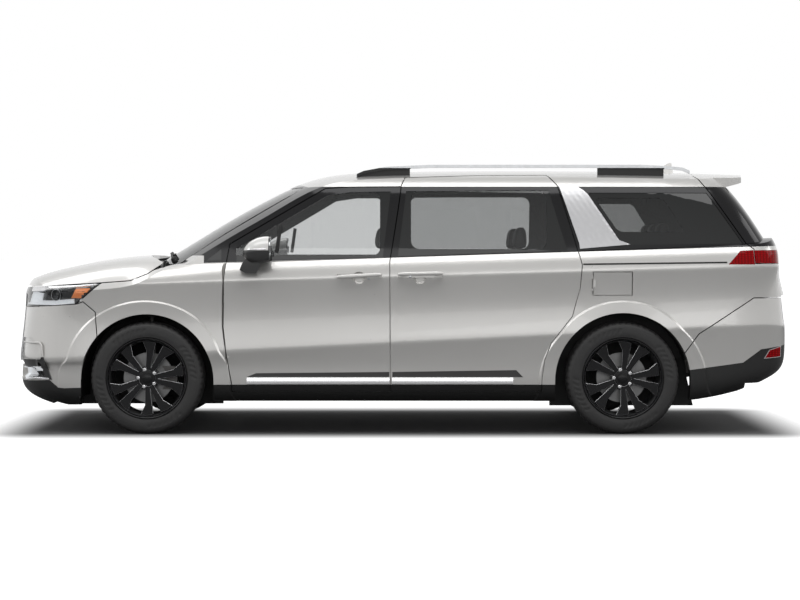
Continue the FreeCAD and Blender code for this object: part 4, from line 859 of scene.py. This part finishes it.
def makeHeadlamps():
    # the housing is the left lens drawn in a little all round, and it carries the lights
    look = headlampLook
    work = bmesh.new()
    work.from_mesh(nodes["headlights"].data)
    bmesh.ops.remove_doubles(work, verts=work.verts[:], dist=1e-5)
    others = [vert for vert in work.verts if vert.co.z <= look["above"] or vert.co.y >= 0]
    bmesh.ops.delete(work, geom=others, context="VERTS")
    bmesh.ops.recalc_face_normals(work, faces=work.faces[:])
    work.normal_update()
    work.verts.index_update()
    places = [vert.co - vert.normal * look["inset"] for vert in work.verts]
    faces = [tuple(vert.index for vert in face.verts) for face in work.faces]
    work.free()
    Shape().add(places, faces, "blackGloss").putBoth("headlampHousing", "chassis", sharp=30.0)
    skin = BVHTree.FromPolygons(places, faces)
    for name in ("headlampLight", "headlampBeam"):
        laid(look[name], skin).putBoth(name, "chassis")


makeHeadlamps()
layPieces(headlampTrims)
print("headlamps made")


# Trims on the body sides

facing = (0.0, -0.998, 0.06)
sillRow = {"step": 0.04, "size": (0.045, 0.010), "finish": "brightTrim", "lift": 0.003, "facing": facing}


def garnishRelief(x, z):
    # slanted ribs in low relief
    across = (x * 0.83 + z * 0.56) * 2 * math.pi / 0.034
    along = (z * 0.83 - x * 0.56) * 2 * math.pi / 0.068
    return 0.0005 * math.sin(across) * (0.6 + 0.4 * math.sin(along))


sillTrims = {
    "sillStripFront": {"skin": ["front_door_left"], "body": "front_door_%s", "rows": [
        dict(points=[(-0.995, 0.3475), (-0.068, 0.3475)], **sillRow)]},
    "sillStripRear": {"skin": ["sliding_door_left"], "rows": [
        dict(points=[(-0.052, 0.3475), (0.735, 0.3475)], **sillRow)]},
}
garnishTrims = {
    "pillarGarnish": {"skin": ["body_side_left", "side_glass"], "rows": [
        dict(outline=[(1.040, 1.618), (1.152, 1.618), (1.198, 1.588), (1.228, 1.560), (1.425, 1.262), (1.500, 1.234),
                      (1.170, 1.206), (1.166, 1.240)],
             finish="garnish", lift=0.004, depth=0.005, step=0.0085, relief=garnishRelief)]},
}
handleLook = {
    "half": 0.0140, "crown": 0.009, "foot": 0.004, "step": 0.012, "lift": 0.004, "reach": 0.006, "endShare": 0.55,
    "ends": {"front_door_%s": ((-0.408, 1.0235), (-0.120, 1.0395)), "chassis": ((-0.014, 1.0420), (0.278, 1.0480))},
}


def makeHandles():
    # a crowned grip over each handle
    look = handleLook
    half = look["half"]
    section = [(math.cos(math.pi * step / 8) * half, math.sin(math.pi * step / 8) * look["crown"]) for step in range(9)]
    section += [(-half, -look["foot"]), (half, -look["foot"])]
    for body, (start, end) in look["ends"].items():
        skin = skinOf("front_door_left" if "door" in body else "sliding_door_left")
        line = evenLine([start, end], look["step"])
        out = min(onSkin(skin, "side", x, z, look["reach"])[0].y for x, z in line) + look["lift"]
        places = [Vector((x, out, z)) for x, z in line]
        widening = (1 - look["endShare"]) * (len(line) - 1) / 3  # full width from the third step on
        shape = sweep(Shape(), places, [Vector(facing)] * len(line), section, "paint",
                      taper=lambda share: min(1.0, look["endShare"] + widening * min(share, 1 - share)))
        shape.putBoth("handleGrip" + ("Front" if "door" in body else "Rear"), body)


layPieces(sillTrims)
makeHandles()
layPieces(garnishTrims)
print("side trims made")


# Seats: the pads are simulated once for each form and shared by all seats

seatLook = {
    "voxel": 0.011, "pressure": 4.0, "cap": 0.024, "frames": 20, "fill": 0.7, "seamWidth": 0.006,
    "pads": {  # outline across the seat, half width, edge radius
        "Cushion": ([(-0.455, 0.232), (-0.468, 0.320), (-0.430, 0.352), (-0.180, 0.330), (0.020, 0.318),
                     (0.045, 0.232)], 0.236, 0.028),
        "Back": ([(0.018, 0.352), (0.045, 0.340), (0.130, 0.345), (0.205, 0.600), (0.248, 0.862), (0.160, 0.866),
                  (0.090, 0.620)], 0.228, 0.026),
        "Rest": ([(0.162, 0.915), (0.178, 1.052), (0.240, 1.062), (0.252, 0.918)], 0.122, 0.022),
    },
    "seams": {  # half width between the long seams, depth, axis and places of the cross channels, and their side
        "Cushion": (0.135, 0.007, 0, (-0.36, -0.27, -0.18, -0.09), lambda place: place.z > 0.3),
        "Back": (0.130, 0.007, 2, (0.44, 0.53, 0.62, 0.71), lambda place: place.x < 0.10 + 0.30 * (place.z - 0.35)),
        "Rest": (0.088, 0.0042, 0, (), lambda place: False),
    },
    "rows": [  # name, node, place along the vehicle, places across, width and height against a front seat
        ("front", "front_seats", -0.330, (-0.400, 0.400), 1.0, 1.0),
        ("second", "second_row_seats", 0.600, (-0.400, 0.400), 1.0, 1.0),
        ("third", "third_row_seats", 1.560, (-0.405, 0.0, 0.405), 0.80, 0.82),
    ],
    "half": 0.20, "sideThick": 0.03, "sideOut": 0.015, "overlap": 0.01, "hingeThick": 0.024, "hingeOut": 0.013,
    "side": [(-0.40, 0.0), (-0.44, 0.20), (-0.43, 0.262), (0.06, 0.262), (0.10, 0.20), (0.06, 0.0)],
    "under": [(-0.42, 0.16), (-0.43, 0.245), (0.05, 0.245), (0.05, 0.16)],
    "shell": [(0.05, 0.24), (0.125, 0.34), (0.205, 0.60), (0.252, 0.86), (0.264, 0.85), (0.225, 0.58), (0.135, 0.24)],
    "hinge": [(0.0, 0.20), (-0.03, 0.25), (0.02, 0.31), (0.09, 0.30), (0.12, 0.24), (0.08, 0.19)],
    "posts": (-0.045, 0.045), "postAt": 0.205, "postEnds": (0.84, 0.94), "postRadius": 0.006,
}


def padSolid(outline, half, radius):
    # an outline pushed across the seat, with rounded edges
    shape = block(Shape(), outline, 2 * half, "seat", radius, None, 3, 0.55, -half)
    made = bpy.data.meshes.new("pad")
    made.from_pydata([tuple(place) for place in shape.places], [], shape.faces)
    return made


def inflated(mesh):
    # the pad swells under pressure as cloth, no further than the cap, and the result is kept
    look = seatLook
    scene = bpy.context.scene
    pad = bpy.data.objects.new("pad", mesh)
    scene.collection.objects.link(pad)

    def kept():
        made = bpy.data.meshes.new_from_object(pad.evaluated_get(bpy.context.evaluated_depsgraph_get()))
        pad.modifiers.clear()
        pad.data = made
        return made

    remesh = pad.modifiers.new("remesh", "REMESH")
    remesh.mode = "VOXEL"
    remesh.voxel_size = look["voxel"]
    soften = pad.modifiers.new("soften", "SMOOTH")
    soften.iterations = 6
    made = kept()
    rest = [vertex.co.copy() for vertex in made.vertices]
    cloth = pad.modifiers.new("cloth", "CLOTH")
    cloth.settings.use_pressure = True
    cloth.settings.uniform_pressure_force = look["pressure"]
    cloth.settings.effector_weights.gravity = 0.0
    cloth.settings.quality = 5
    cloth.collision_settings.use_collision = False
    for number in range(1, look["frames"] + 1):
        scene.frame_set(number)
    made = kept()
    for vertex, before in zip(made.vertices, rest):
        shift = vertex.co - before
        if shift.length > look["cap"]:
            vertex.co = before + shift.normalized() * look["cap"]
    scene.frame_set(1)
    bpy.data.objects.remove(pad)
    return made


def sewn(mesh, half, depth, axis, channels, onSide):
    # seams pressed into the pad: one along each side, and channels between them
    mesh.update()
    shifts = []
    for vertex in mesh.vertices:
        place = vertex.co
        gaps = [abs(abs(place.y) - half)]
        if abs(place.y) < half and onSide(place):
            gaps += [abs(place[axis] - channel) for channel in channels]
        shifts.append(vertex.normal * (depth * math.exp(-(min(gaps) / seatLook["seamWidth"]) ** 2)))
    for vertex, shift in zip(mesh.vertices, shifts):
        vertex.co -= shift
    mesh.polygons.foreach_set("use_smooth", [True] * len(mesh.polygons))
    mesh.materials.clear()
    mesh.materials.append(finishes["seat"])
    mesh.update()


def seatFrame(place, wide, up, hinged):
    look = seatLook
    frame = Shape()

    def add(outline, y, depth, bevel):
        corners = [(px, pz * up) for px, pz in outline]
        block(frame, corners, depth, "cabin", bevel, place @ toPlace(0.0, y, 0.0))

    for sign in (-1, 1):
        add(look["side"], sign * wide - look["sideOut"], look["sideThick"], 0.006)
    add(look["under"], -wide, 2 * wide, 0.008)
    add(look["shell"], -wide - look["overlap"], 2 * (wide + look["overlap"]), 0.006)
    radius = look["postRadius"]
    circle = [(radius * math.cos(step * 0.785), radius * math.sin(step * 0.785)) for step in range(8)]
    for offset in look["posts"]:
        post = [place @ Vector((look["postAt"], offset, end * up)) for end in look["postEnds"]]
        sweep(frame, post, [Vector((1, 0, 0))] * 2, circle, "satin")
    if hinged:
        for sign in (-1, 1):
            add(look["hinge"], sign * (wide + look["hingeOut"] + 0.012) - 0.012, look["hingeThick"], 0.005)
    return frame


def makeSeats():
    look = seatLook
    pads = {form: inflated(padSolid(*values)) for form, values in look["pads"].items()}
    for form, pad in pads.items():
        sewn(pad, *look["seams"][form])
    for row, node, x, spots, across, up in look["rows"]:
        for number, y in enumerate(spots):
            place = toPlace(x, y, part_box(node)[0].z)
            for form, pad in pads.items():
                hidden = [node] if number == 0 and form == "Cushion" else ()
                scaled = place @ Matrix.Diagonal((1.0, across, up, 1.0))
                piece = stand("%sSeat%s%d" % (row, form, number + 1), pad, "chassis", hidden, scaled)
            frame = seatFrame(place, look["half"] * across, up, row == "front")
            frame.put("%sSeatFrame%d" % (row, number + 1), "chassis")


makeSeats()
print("seats made")


# Cabin

wheelLook = {"radius": 0.185, "grip": 0.0155, "swell": 0.002, "swellAt": 30.0, "divisions": (96, 16), "tilt": 66.0,
             "centre": (-0.730, -0.400, 0.980),
             "pad": [(-0.062, 0.058), (0.062, 0.058), (0.072, 0.0), (0.050, -0.062), (-0.050, -0.062), (-0.072, 0.0)],
             "arms": ((0, 0.030, "cabin"), (180, 0.030, "cabin"), (270, 0.034, "satin")),
             "keys": (-0.008, 0.008),
             "column": [(-0.205, 0.0), (-0.205, 0.034), (-0.035, 0.036), (-0.012, 0.052), (-0.004, 0.060),
                        (-0.004, 0.0)]}


def plate(width, height, x=0.0, z=0.0):
    # a rectangle's corners, from its lower left, about its middle
    return [(x + a * width / 2, z + b * height / 2) for a, b in ((-1, -1), (1, -1), (1, 1), (-1, 1))]


def makeSteeringWheel():
    look = wheelLook
    shape = Shape()
    radius = look["radius"]
    long, around = look["divisions"]
    rows = []
    for step in range(long):
        angle = 2 * math.pi * step / long
        grip = look["grip"] + look["swell"] * max(0.0, math.cos(2 * (angle - math.radians(look["swellAt"]))))
        row = []
        for part in range(around):
            turn = 2 * math.pi * part / around
            reach = radius + grip * math.cos(turn) * 0.9
            row.append(Vector((math.cos(angle) * reach, math.sin(angle) * reach, grip * math.sin(turn))))
        rows.append(row)
    shape.add(*band(rows, True, True), "seat")
    flat = turnedBy(90, "X")
    block(shape, look["pad"], 0.036, "cabin", 0.010, toPlace(0, 0, 0.014) @ flat, 3)
    for turn, wide, finish in look["arms"]:
        arm = [(0.045, -wide / 2), (radius - 0.006, -wide * 0.42), (radius - 0.006, wide * 0.42), (0.045, wide / 2)]
        spin = turnedBy(turn, "Z")
        block(shape, arm, 0.014, finish, 0.003, spin @ toPlace(0, 0, 0.004) @ flat)
        for offset in look["keys"] if finish == "cabin" else ():
            key = plate(0.033, 0.012, 0.1015, offset)
            block(shape, key, 0.005, "blackGloss", 0.0015, spin @ toPlace(0, 0, 0.009) @ flat)
    places, faces = lathe(look["column"], 40)
    shape.add([flat @ place for place in places], faces, "cabin")
    seat = toPlace(*look["centre"]) @ turnedBy(look["tilt"], "Y") @ turnedBy(90, "Z")
    shape.turned(seat).put("steeringWheel", "steering_wheel", ["steering_wheel"])


dashLook = {"tilt": -14, "screen": (0.62, 0.124), "screenAt": (-0.905, -0.13, 1.080),
            "vent": [(-0.075, -0.020), (0.075, -0.020), (0.068, 0.020), (-0.068, 0.020)],
            "vents": (-0.62, -0.20, 0.16, 0.62), "ventAt": (-0.884, 0.985), "fins": (-0.010, 0.0, 0.010),
            "lid": [(-0.92, 0.640), (-0.92, 0.662), (-0.60, 0.662), (-0.36, 0.655), (-0.36, 0.640)],
            "rest": [(-0.58, 0.662), (-0.575, 0.692), (-0.37, 0.690), (-0.362, 0.662)],
            "cup": [(0.0, 0.042), (0.012, 0.040), (0.016, 0.030), (0.016, 0.0)], "cupAt": (-0.70, 0.0, 0.662)}


def makeDashboard():
    look = dashLook
    shape = Shape()
    face = turnedBy(look["tilt"], "Y") @ turnedBy(-90, "Z")
    block(shape, plate(*look["screen"]), 0.014, "screen", 0.005, toPlace(*look["screenAt"]) @ face)
    x, z = look["ventAt"]
    for y in look["vents"]:
        block(shape, look["vent"], 0.012, "blackGloss", 0.003, toPlace(x, y, z) @ face)
        for level in look["fins"]:
            block(shape, plate(0.132, 0.003, 0.0, level), 0.016, "satin", 0.0006, toPlace(x + 0.002, y, z) @ face, 1)
    block(shape, look["lid"], 0.24, "cabin", 0.006, toPlace(0, -0.12, 0))
    block(shape, look["rest"], 0.20, "seat", 0.010, toPlace(0, -0.10, 0), 3)
    ring(shape, look["cupAt"], (0, 0, 1), look["cup"], 40, "satin")
    shape.put("dashboardTrims", "chassis")


innerMirrorLook = {
    "outline": [(-0.115, -0.028), (0.115, -0.028), (0.120, 0.0), (0.105, 0.032), (-0.105, 0.032), (-0.120, 0.0)],
    "at": (-0.86, 0.0, 1.43), "stem": [(-0.875, 0.0, 1.44), (-0.90, 0.0, 1.475)],
    "section": [(0.008, 0.0), (0.0, 0.008), (-0.008, 0.0), (0.0, -0.008)],
}


def makeInnerMirror():
    look = innerMirrorLook
    shape = Shape()
    block(shape, look["outline"], 0.020, "cabin", 0.006, toPlace(*look["at"]) @ turnedBy(-90, "Z"))
    stem = [Vector(place) for place in look["stem"]]
    sweep(shape, stem, [Vector((1, 0, 0))] * 2, look["section"], "cabin")
    shape.put("innerMirror", "chassis")


makeSteeringWheel()
makeDashboard()
makeInnerMirror()
print("cabin made")


# Front bumper, grille and arches

bumperSkin = ["front_bumper", "front_valance", "grille"]
bumperTrims = {
    "fogLampTrim": {"skin": bumperSkin, "reach": 0.02, "rows": [
        dict(outline=[(-2.478, 0.482), (-2.345, 0.486), (-2.338, 0.500), (-2.328, 0.500), (-2.272, 0.352),
                      (-2.440, 0.362)], finish="blackGloss", lift=0.003, depth=0.012, step=0.012),
        dict(outline=[(-2.398, 0.436), (-2.345, 0.438), (-2.332, 0.408), (-2.385, 0.402)], finish="bright",
             lift=0.008, depth=0.006, step=0.012),
        dict(outline=[(-2.474, 0.432), (-2.405, 0.418), (-2.372, 0.380), (-2.452, 0.352)], finish="bright",
             lift=0.010, depth=0.010, step=0.010),
        dict(points=[(-2.448, 0.350), (-2.38, 0.362), (-2.285, 0.358)], step=0.015, size=(0.012, 0.006),
             finish="brightTrim", lift=0.006),
    ]},
    "bumperCrease": {"skin": bumperSkin, "reach": 0.02, "rows": [
        dict(points=[(-2.478, 0.592), (-2.352, 0.594), (-2.338, 0.575), (-2.330, 0.505)], step=0.012,
             size=(0.012, 0.005), finish="paint"),
    ]},
}
grilleTrims = {
    "grilleMesh": {"skin": ["grille"], "view": "front", "single": True, "rows": [
        dict(points=[(-0.49, height), (0.49, height)], step=0.04, size=(0.020, 0.012), finish="blackGloss", lift=0.001)
        for height in (0.50, 0.565, 0.63, 0.695, 0.76, 0.825)
    ] + [
        dict(points=[(column * 0.042 - 0.02, 0.475), (column * 0.042 + 0.02, 0.86)], step=0.04, size=(0.007, 0.007),
             finish="rim", lift=0.001)
        for column in range(-11, 12)
    ]},
    "grilleFrame": {"skin": ["grille"], "view": "front", "single": True, "rows": [
        dict(points=[(-0.535, 0.89), (0.535, 0.89), (0.505, 0.47), (-0.505, 0.47)], step=0.03, size=(0.022, 0.012),
             finish="brightTrim", lift=0.001, closed=True),
    ]},
}
plateLook = {
    "frontPlate": {"body": "chassis", "width": 0.32, "height": 0.12, "depth": 0.006, "edge": 0.0025, "low": 0.36,
                   "gap": 0.0005, "meets": 0.42},
    "rearPlate": {"body": "tailgate", "width": 0.31, "height": 0.155, "depth": 0.005, "edge": 0.0022, "low": 0.922,
                  "back": 2.5145, "screws": (-0.089, 0.089), "screwAt": (2.5190, 1.0),
                  "screw": [(0.0, 0.007), (0.003, 0.006), (0.0042, 0.0)]},
}


def makePlate(name):
    # a blank plate; the front one stands on the nose
    look = plateLook[name]
    shape = Shape()
    upright = toPlace(0.0, 0.0, look["low"]) @ turnedBy(90, "Z")
    corners = plate(look["width"], look["height"], 0.0, look["height"] / 2)
    block(shape, corners, look["depth"], "plate", look["edge"], upright)
    along = [place.x for place in shape.places]
    if "meets" in look:
        spot, _ = onSkin(skinOf("grille", "front_bumper", "front_valance"), "front", 0.0, look["meets"])
        shape = shape.turned(toPlace(spot.x + look["gap"] - max(along), 0.0, 0.0))
    else:
        shape = shape.turned(toPlace(look["back"] - min(along), 0.0, 0.0))
    for across in look.get("screws", ()):
        x, z = look["screwAt"]
        ring(shape, (x, across, z), (1, 0, 0), look["screw"], 20, "nut")
    shape.put(name, look["body"])


archLook = {
    "radius": 0.455, "axle": 0.365, "low": 0.165, "thick": 0.004, "divisions": 24,
    # each wheel's place along the vehicle, the panel's distance from the middle, and its reach ahead and behind
    "front": (-1.643, 0.485, -0.52, 0.455), "rear": (1.447, 0.655, -0.455, 0.50),
}


def makeArchPanels():
    # dark closing walls behind the wheels
    look = archLook
    for name in ("front", "rear"):
        middle, reach, ahead, behind = look[name]
        outline = [(middle + behind, look["low"]), (middle + ahead, look["low"])]
        for step in range(look["divisions"] + 1):
            angle = math.pi * (1 - step / look["divisions"])
            outline.append((middle + math.cos(angle) * look["radius"], look["axle"] + math.sin(angle) * look["radius"]))
        panel = block(Shape(), outline, look["thick"], "underbody", 0.0, toPlace(0.0, -reach, 0.0))
        panel.putBoth(name + "ArchPanel", "chassis")


layPieces(bumperTrims)
layPieces(grilleTrims)
makePlate("frontPlate")
makeArchPanels()
print("front trims made")


# Tail, wipers, mirrors and small trims

reflectorMiddle = Vector((2.438, 0.528))
reflector = [(2.378, 0.496), (2.410, 0.546), (2.482, 0.566), (2.482, 0.504)]
tailTrims = {
    "rearReflector": {"skin": ["rear_valance", "rear_bumper"], "rows": [
        dict(outline=[tuple(reflectorMiddle + (Vector(place) - reflectorMiddle) * 1.16) for place in reflector],
             finish="brightTrim", lift=0.003, depth=0.008, step=0.012),
        # the red lens finish glows faintly, which puts a painted glow on this reflector
        dict(outline=reflector, finish="red", lift=0.006, depth=0.008, step=0.012),
    ]},
    "rearSkidPlate": {"skin": ["rear_valance", "rear_bumper"], "view": "back", "single": True, "rows": [
        dict(outline=[(-0.52, 0.30), (-0.42, 0.262), (0.42, 0.262), (0.52, 0.30), (0.60, 0.40), (-0.60, 0.40)],
             finish="satin", lift=0.004, depth=0.010, step=0.03),
    ]},
}
rearWindowTrims = {
    "rearWiper": {"skin": ["tailgate_glass", "tailgate"], "view": "back", "single": True, "body": "tailgate", "rows": [
        dict(points=[(0.0, 1.262), (0.30, 1.285), (0.43, 1.290)], step=0.03, size=(0.014, 0.012), finish="rubber",
             lift=0.010, taper=(1.1, 0.6)),
        dict(at=(0.0, 1.262), profile=[(0.0, 0.024), (0.018, 0.022), (0.022, 0.016), (0.024, 0.0)], count=28,
             finish="rubber"),
    ]},
    "highBrakeLamp": {"skin": ["tailgate"], "view": "back", "single": True, "body": "tailgate", "rows": [
        dict(points=[(-0.22, 1.700), (0.22, 1.700)], step=0.04, size=(0.012, 0.005), finish="red", lift=0.001),
    ]},
}


def wiperRows(start, end, low=1.128, high=1.150):
    knee, foot = (start + (end - start) * 0.45, low + 0.03), (start + 0.06, low + 0.020)
    return [
        dict(points=[(start, low), knee], step=0.03, size=(0.018, 0.014), finish="rubber", lift=0.012),
        dict(points=[foot, (end, high + 0.012)], step=0.03, size=(0.012, 0.020), finish="rubber", lift=0.006),
        dict(at=(start, low), profile=[(0.0, 0.022), (0.020, 0.019), (0.026, 0.010), (0.027, 0.0)], count=24,
             finish="rubber"),
    ]


wiperTrims = {
    "windshieldWipers": {"skin": ["windshield", "cowl"], "view": "front", "single": True,
                         "rows": wiperRows(-0.62, -0.02) + wiperRows(0.02, 0.66)},
}
mirrorGlassLook = {
    "margin": 0.86, "spacing": 0.008,
    "pane": dict(view="back", finish="chrome", lift=0.002, depth=0.004, step=0.02),
    "line": dict(points=[(-0.975, 1.2005), (-0.93, 1.2020), (-0.860, 1.2050)], step=0.01, size=(0.009, 0.004),
                 finish="brightTrim", lift=0.001),
}


def makeMirrorTrim():
    # the pane is the outline of the mirror's rear face, drawn in
    look = mirrorGlassLook
    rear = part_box("mirror_left")[1].x - 0.0005
    edge = [Vector((vertex.co.y, vertex.co.z)) for vertex in nodes["mirror_left"].data.vertices if vertex.co.x > rear]
    middle = sum(edge, Vector((0.0, 0.0))) / len(edge)
    edge.sort(key=lambda place: math.atan2(place.y - middle.y, place.x - middle.x))
    pane = []
    for place in edge:
        inner = middle + (place - middle) * look["margin"]
        if not pane or math.dist(inner, pane[-1]) > look["spacing"]:
            pane.append(tuple(inner))
    rows = [dict(outline=pane, **look["pane"]), look["line"]]
    laid({"skin": ["mirror_left"], "rows": rows}).putBoth("mirrorGlass", "front_door_%s")


keyProfile = [(0.0, 0.010), (0.002, 0.0098), (0.0032, 0.008), (0.0034, 0.0)]
bodyTrims = {
    "slidingTrack": {"skin": ["body_side_left"], "rows": [
        dict(points=[(1.186, 1.1055), (1.65, 1.1115), (2.118, 1.1175)], step=0.04, size=(0.010, 0.0025),
             finish="rubber", lift=0.0005)]},
    # dark plates over the doors' lower recess, above the sill strips: painted shadow where the body colour lies in
    # shade
    "doorFootFront": {"skin": ["front_door_left"], "body": "front_door_%s", "rows": [
        dict(outline=[(-1.000, 0.372), (-0.935, 0.398), (-0.070, 0.406), (-0.070, 0.372)], finish="scoop",
             lift=0.0015, depth=0.004, step=0.02)]},
    "doorFootRear": {"skin": ["sliding_door_left"], "rows": [
        dict(outline=[(-0.050, 0.372), (-0.050, 0.406), (0.755, 0.418), (0.800, 0.372)], finish="scoop",
             lift=0.0015, depth=0.004, step=0.02)]},
    "glassDivision": {"skin": ["front_glass_left"], "body": "front_door_%s", "rows": [
        dict(points=[(-0.777, 1.357), (-0.803, 1.180)], step=0.02, size=(0.024, 0.005), finish="rubber", lift=0.001)]},
    "keyFront": {"skin": ["front_door_left"], "body": "front_door_left", "single": True, "rows": [
        dict(at=(-0.202, 1.014), profile=keyProfile, count=24, finish="satin")]},
    "keyRear": {"skin": ["sliding_door_left"], "single": True, "rows": [
        dict(at=(0.066, 1.026), profile=keyProfile, count=24, finish="satin")]},
}

layPieces(tailTrims)
makePlate("rearPlate")
layPieces(rearWindowTrims)
layPieces(wiperTrims)
makeMirrorTrim()
layPieces(bodyTrims)
print("tail and small trims made")


# Stage, lamps and camera

stageLook = {
    # the floor's colour, darker under the vehicle for a painted contact shadow
    "floorSize": 400.0, "floorShade": (0.34, 0.34, 0.34), "floorPaintedShadow": (0.10, 0.10, 0.10), "lift": 0.95,
    "shadowHalf": (2.35, 0.86), "shadowSoft": 0.55,
    # what the object is lit by and what it mirrors, at the horizon and overhead
    "horizonShade": 0.12, "skyShade": 0.42, "horizonGloss": 0.9, "zenithGloss": 0.6,
}


def makeStage():
    # a pale floor that glows white to the camera, apart from the place under the vehicle, where its colour is darkened
    # to a painted contact shadow
    look = stageLook
    half = look["floorSize"] / 2
    corners = [(-half, -half, 0), (half, -half, 0), (half, half, 0), (-half, half, 0)]
    mesh = bpy.data.meshes.new("floor")
    mesh.from_pydata(corners, [], [(0, 1, 2, 3)])
    floor = bpy.data.objects.new("floor", mesh)
    bpy.context.scene.collection.objects.link(floor)
    finish = Finish("studioFloor", Roughness=0.9)
    x, y, _ = finish.axes()
    halfX, halfY = look["shadowHalf"]
    outX, outY = (x.size() - halfX) | 0.0, (y.size() - halfY) | 0.0
    away = (outX * outX + outY * outY).root().between(0.0, look["shadowSoft"])
    # darker colour under the vehicle: painted contact shadow
    finish.set("Base Color", finish.blend(away, look["floorPaintedShadow"], look["floorShade"]))
    seen = finish.node("ShaderNodeLightPath")
    glow = finish.node("ShaderNodeEmission", None, {"Strength": seen * away * look["lift"]})
    finish.show(finish.node("ShaderNodeAddShader", None, [finish.own, glow]))
    mesh.materials.append(finish.material)


def makeWorld():
    # white where the camera or a pane looks, and a sky that lightens upwards for light and reflections
    look = stageLook
    world = bpy.data.worlds.new("studio")
    bpy.context.scene.world = world
    sky = Nodes(world, "ShaderNodeOutputWorld")
    heading = sky.node("ShaderNodeTexCoord", output="Generated")
    height = sky.node("ShaderNodeSeparateXYZ", None, [heading], 2)

    def ray(kind):
        return sky.node("ShaderNodeLightPath", output=kind)

    def light(colour, strength):
        return sky.node("ShaderNodeBackground", None, [colour, strength])

    lit = light((0.97, 0.98, 1.0), height.between(-0.05, 0.75, look["horizonShade"], look["skyShade"]))
    gloss = light((1.0, 1.0, 1.0), height.between(0.0, 0.8, look["horizonGloss"], look["zenithGloss"]))
    both = sky.node("ShaderNodeMixShader", None, [ray("Is Glossy Ray"), lit, gloss])
    seen = ray("Is Camera Ray") | ray("Is Transmission Ray")
    sky.show(sky.node("ShaderNodeMixShader", None, [seen, both, light((1.0, 1.0, 1.0), 1.0)]))


lampLook = [
    {"name": "keySoftbox", "at": (-0.4, -3.6, 7.0), "aim": (0.0, 0.0, 0.9), "size": (11.0, 3.2), "power": 300.0},
    {"name": "farSoftbox", "at": (-0.4, 4.2, 7.0), "aim": (0.0, 0.0, 0.9), "size": (11.0, 2.0), "power": 160.0},
    {"name": "sideSoftbox", "at": (0.0, -12.0, 2.7), "aim": (0.0, 0.0, 0.9), "size": (12.0, 2.0), "power": 95.0},
    {"name": "noseSoftbox", "at": (-9.0, -2.0, 5.0), "aim": (-1.5, 0.0, 0.8), "size": (4.0, 3.0), "power": 90.0},
    {"name": "tailSoftbox", "at": (9.0, -1.0, 5.0), "aim": (1.5, 0.0, 0.8), "size": (4.0, 3.0), "power": 90.0},
]


def makeLamps():
    for look in lampLook:
        lamp = bpy.data.lights.new(look["name"], "AREA")
        lamp.shape = "RECTANGLE"
        lamp.size, lamp.size_y = look["size"]
        lamp.energy = look["power"]
        holder = bpy.data.objects.new(look["name"], lamp)
        holder.location = look["at"]
        facing = Vector(look["aim"]) - Vector(look["at"])
        holder.rotation_euler = facing.to_track_quat("-Z", "Y").to_euler()
        bpy.context.scene.collection.objects.link(holder)


cameraLook = {"at": (0.0, -13.93, 1.198), "focalPixels": 2000.0, "frameWidth": 800, "horizonAbove": 50.0}


def makeCamera():
    data = bpy.data.cameras.new("camera")
    data.sensor_width = 36.0
    data.lens = 36.0 * cameraLook["focalPixels"] / cameraLook["frameWidth"]
    data.clip_end = 200.0
    camera = bpy.data.objects.new("camera", data)
    camera.location = cameraLook["at"]
    down = math.atan(cameraLook["horizonAbove"] / cameraLook["focalPixels"])
    camera.rotation_euler = (math.pi / 2 - down, 0.0, 0.0)
    bpy.context.scene.collection.objects.link(camera)
    bpy.context.scene.camera = camera


makeStage()
makeWorld()
makeLamps()
makeCamera()
bpy.context.scene.view_settings.view_transform = "Standard"
print("stage, lamps and camera set")
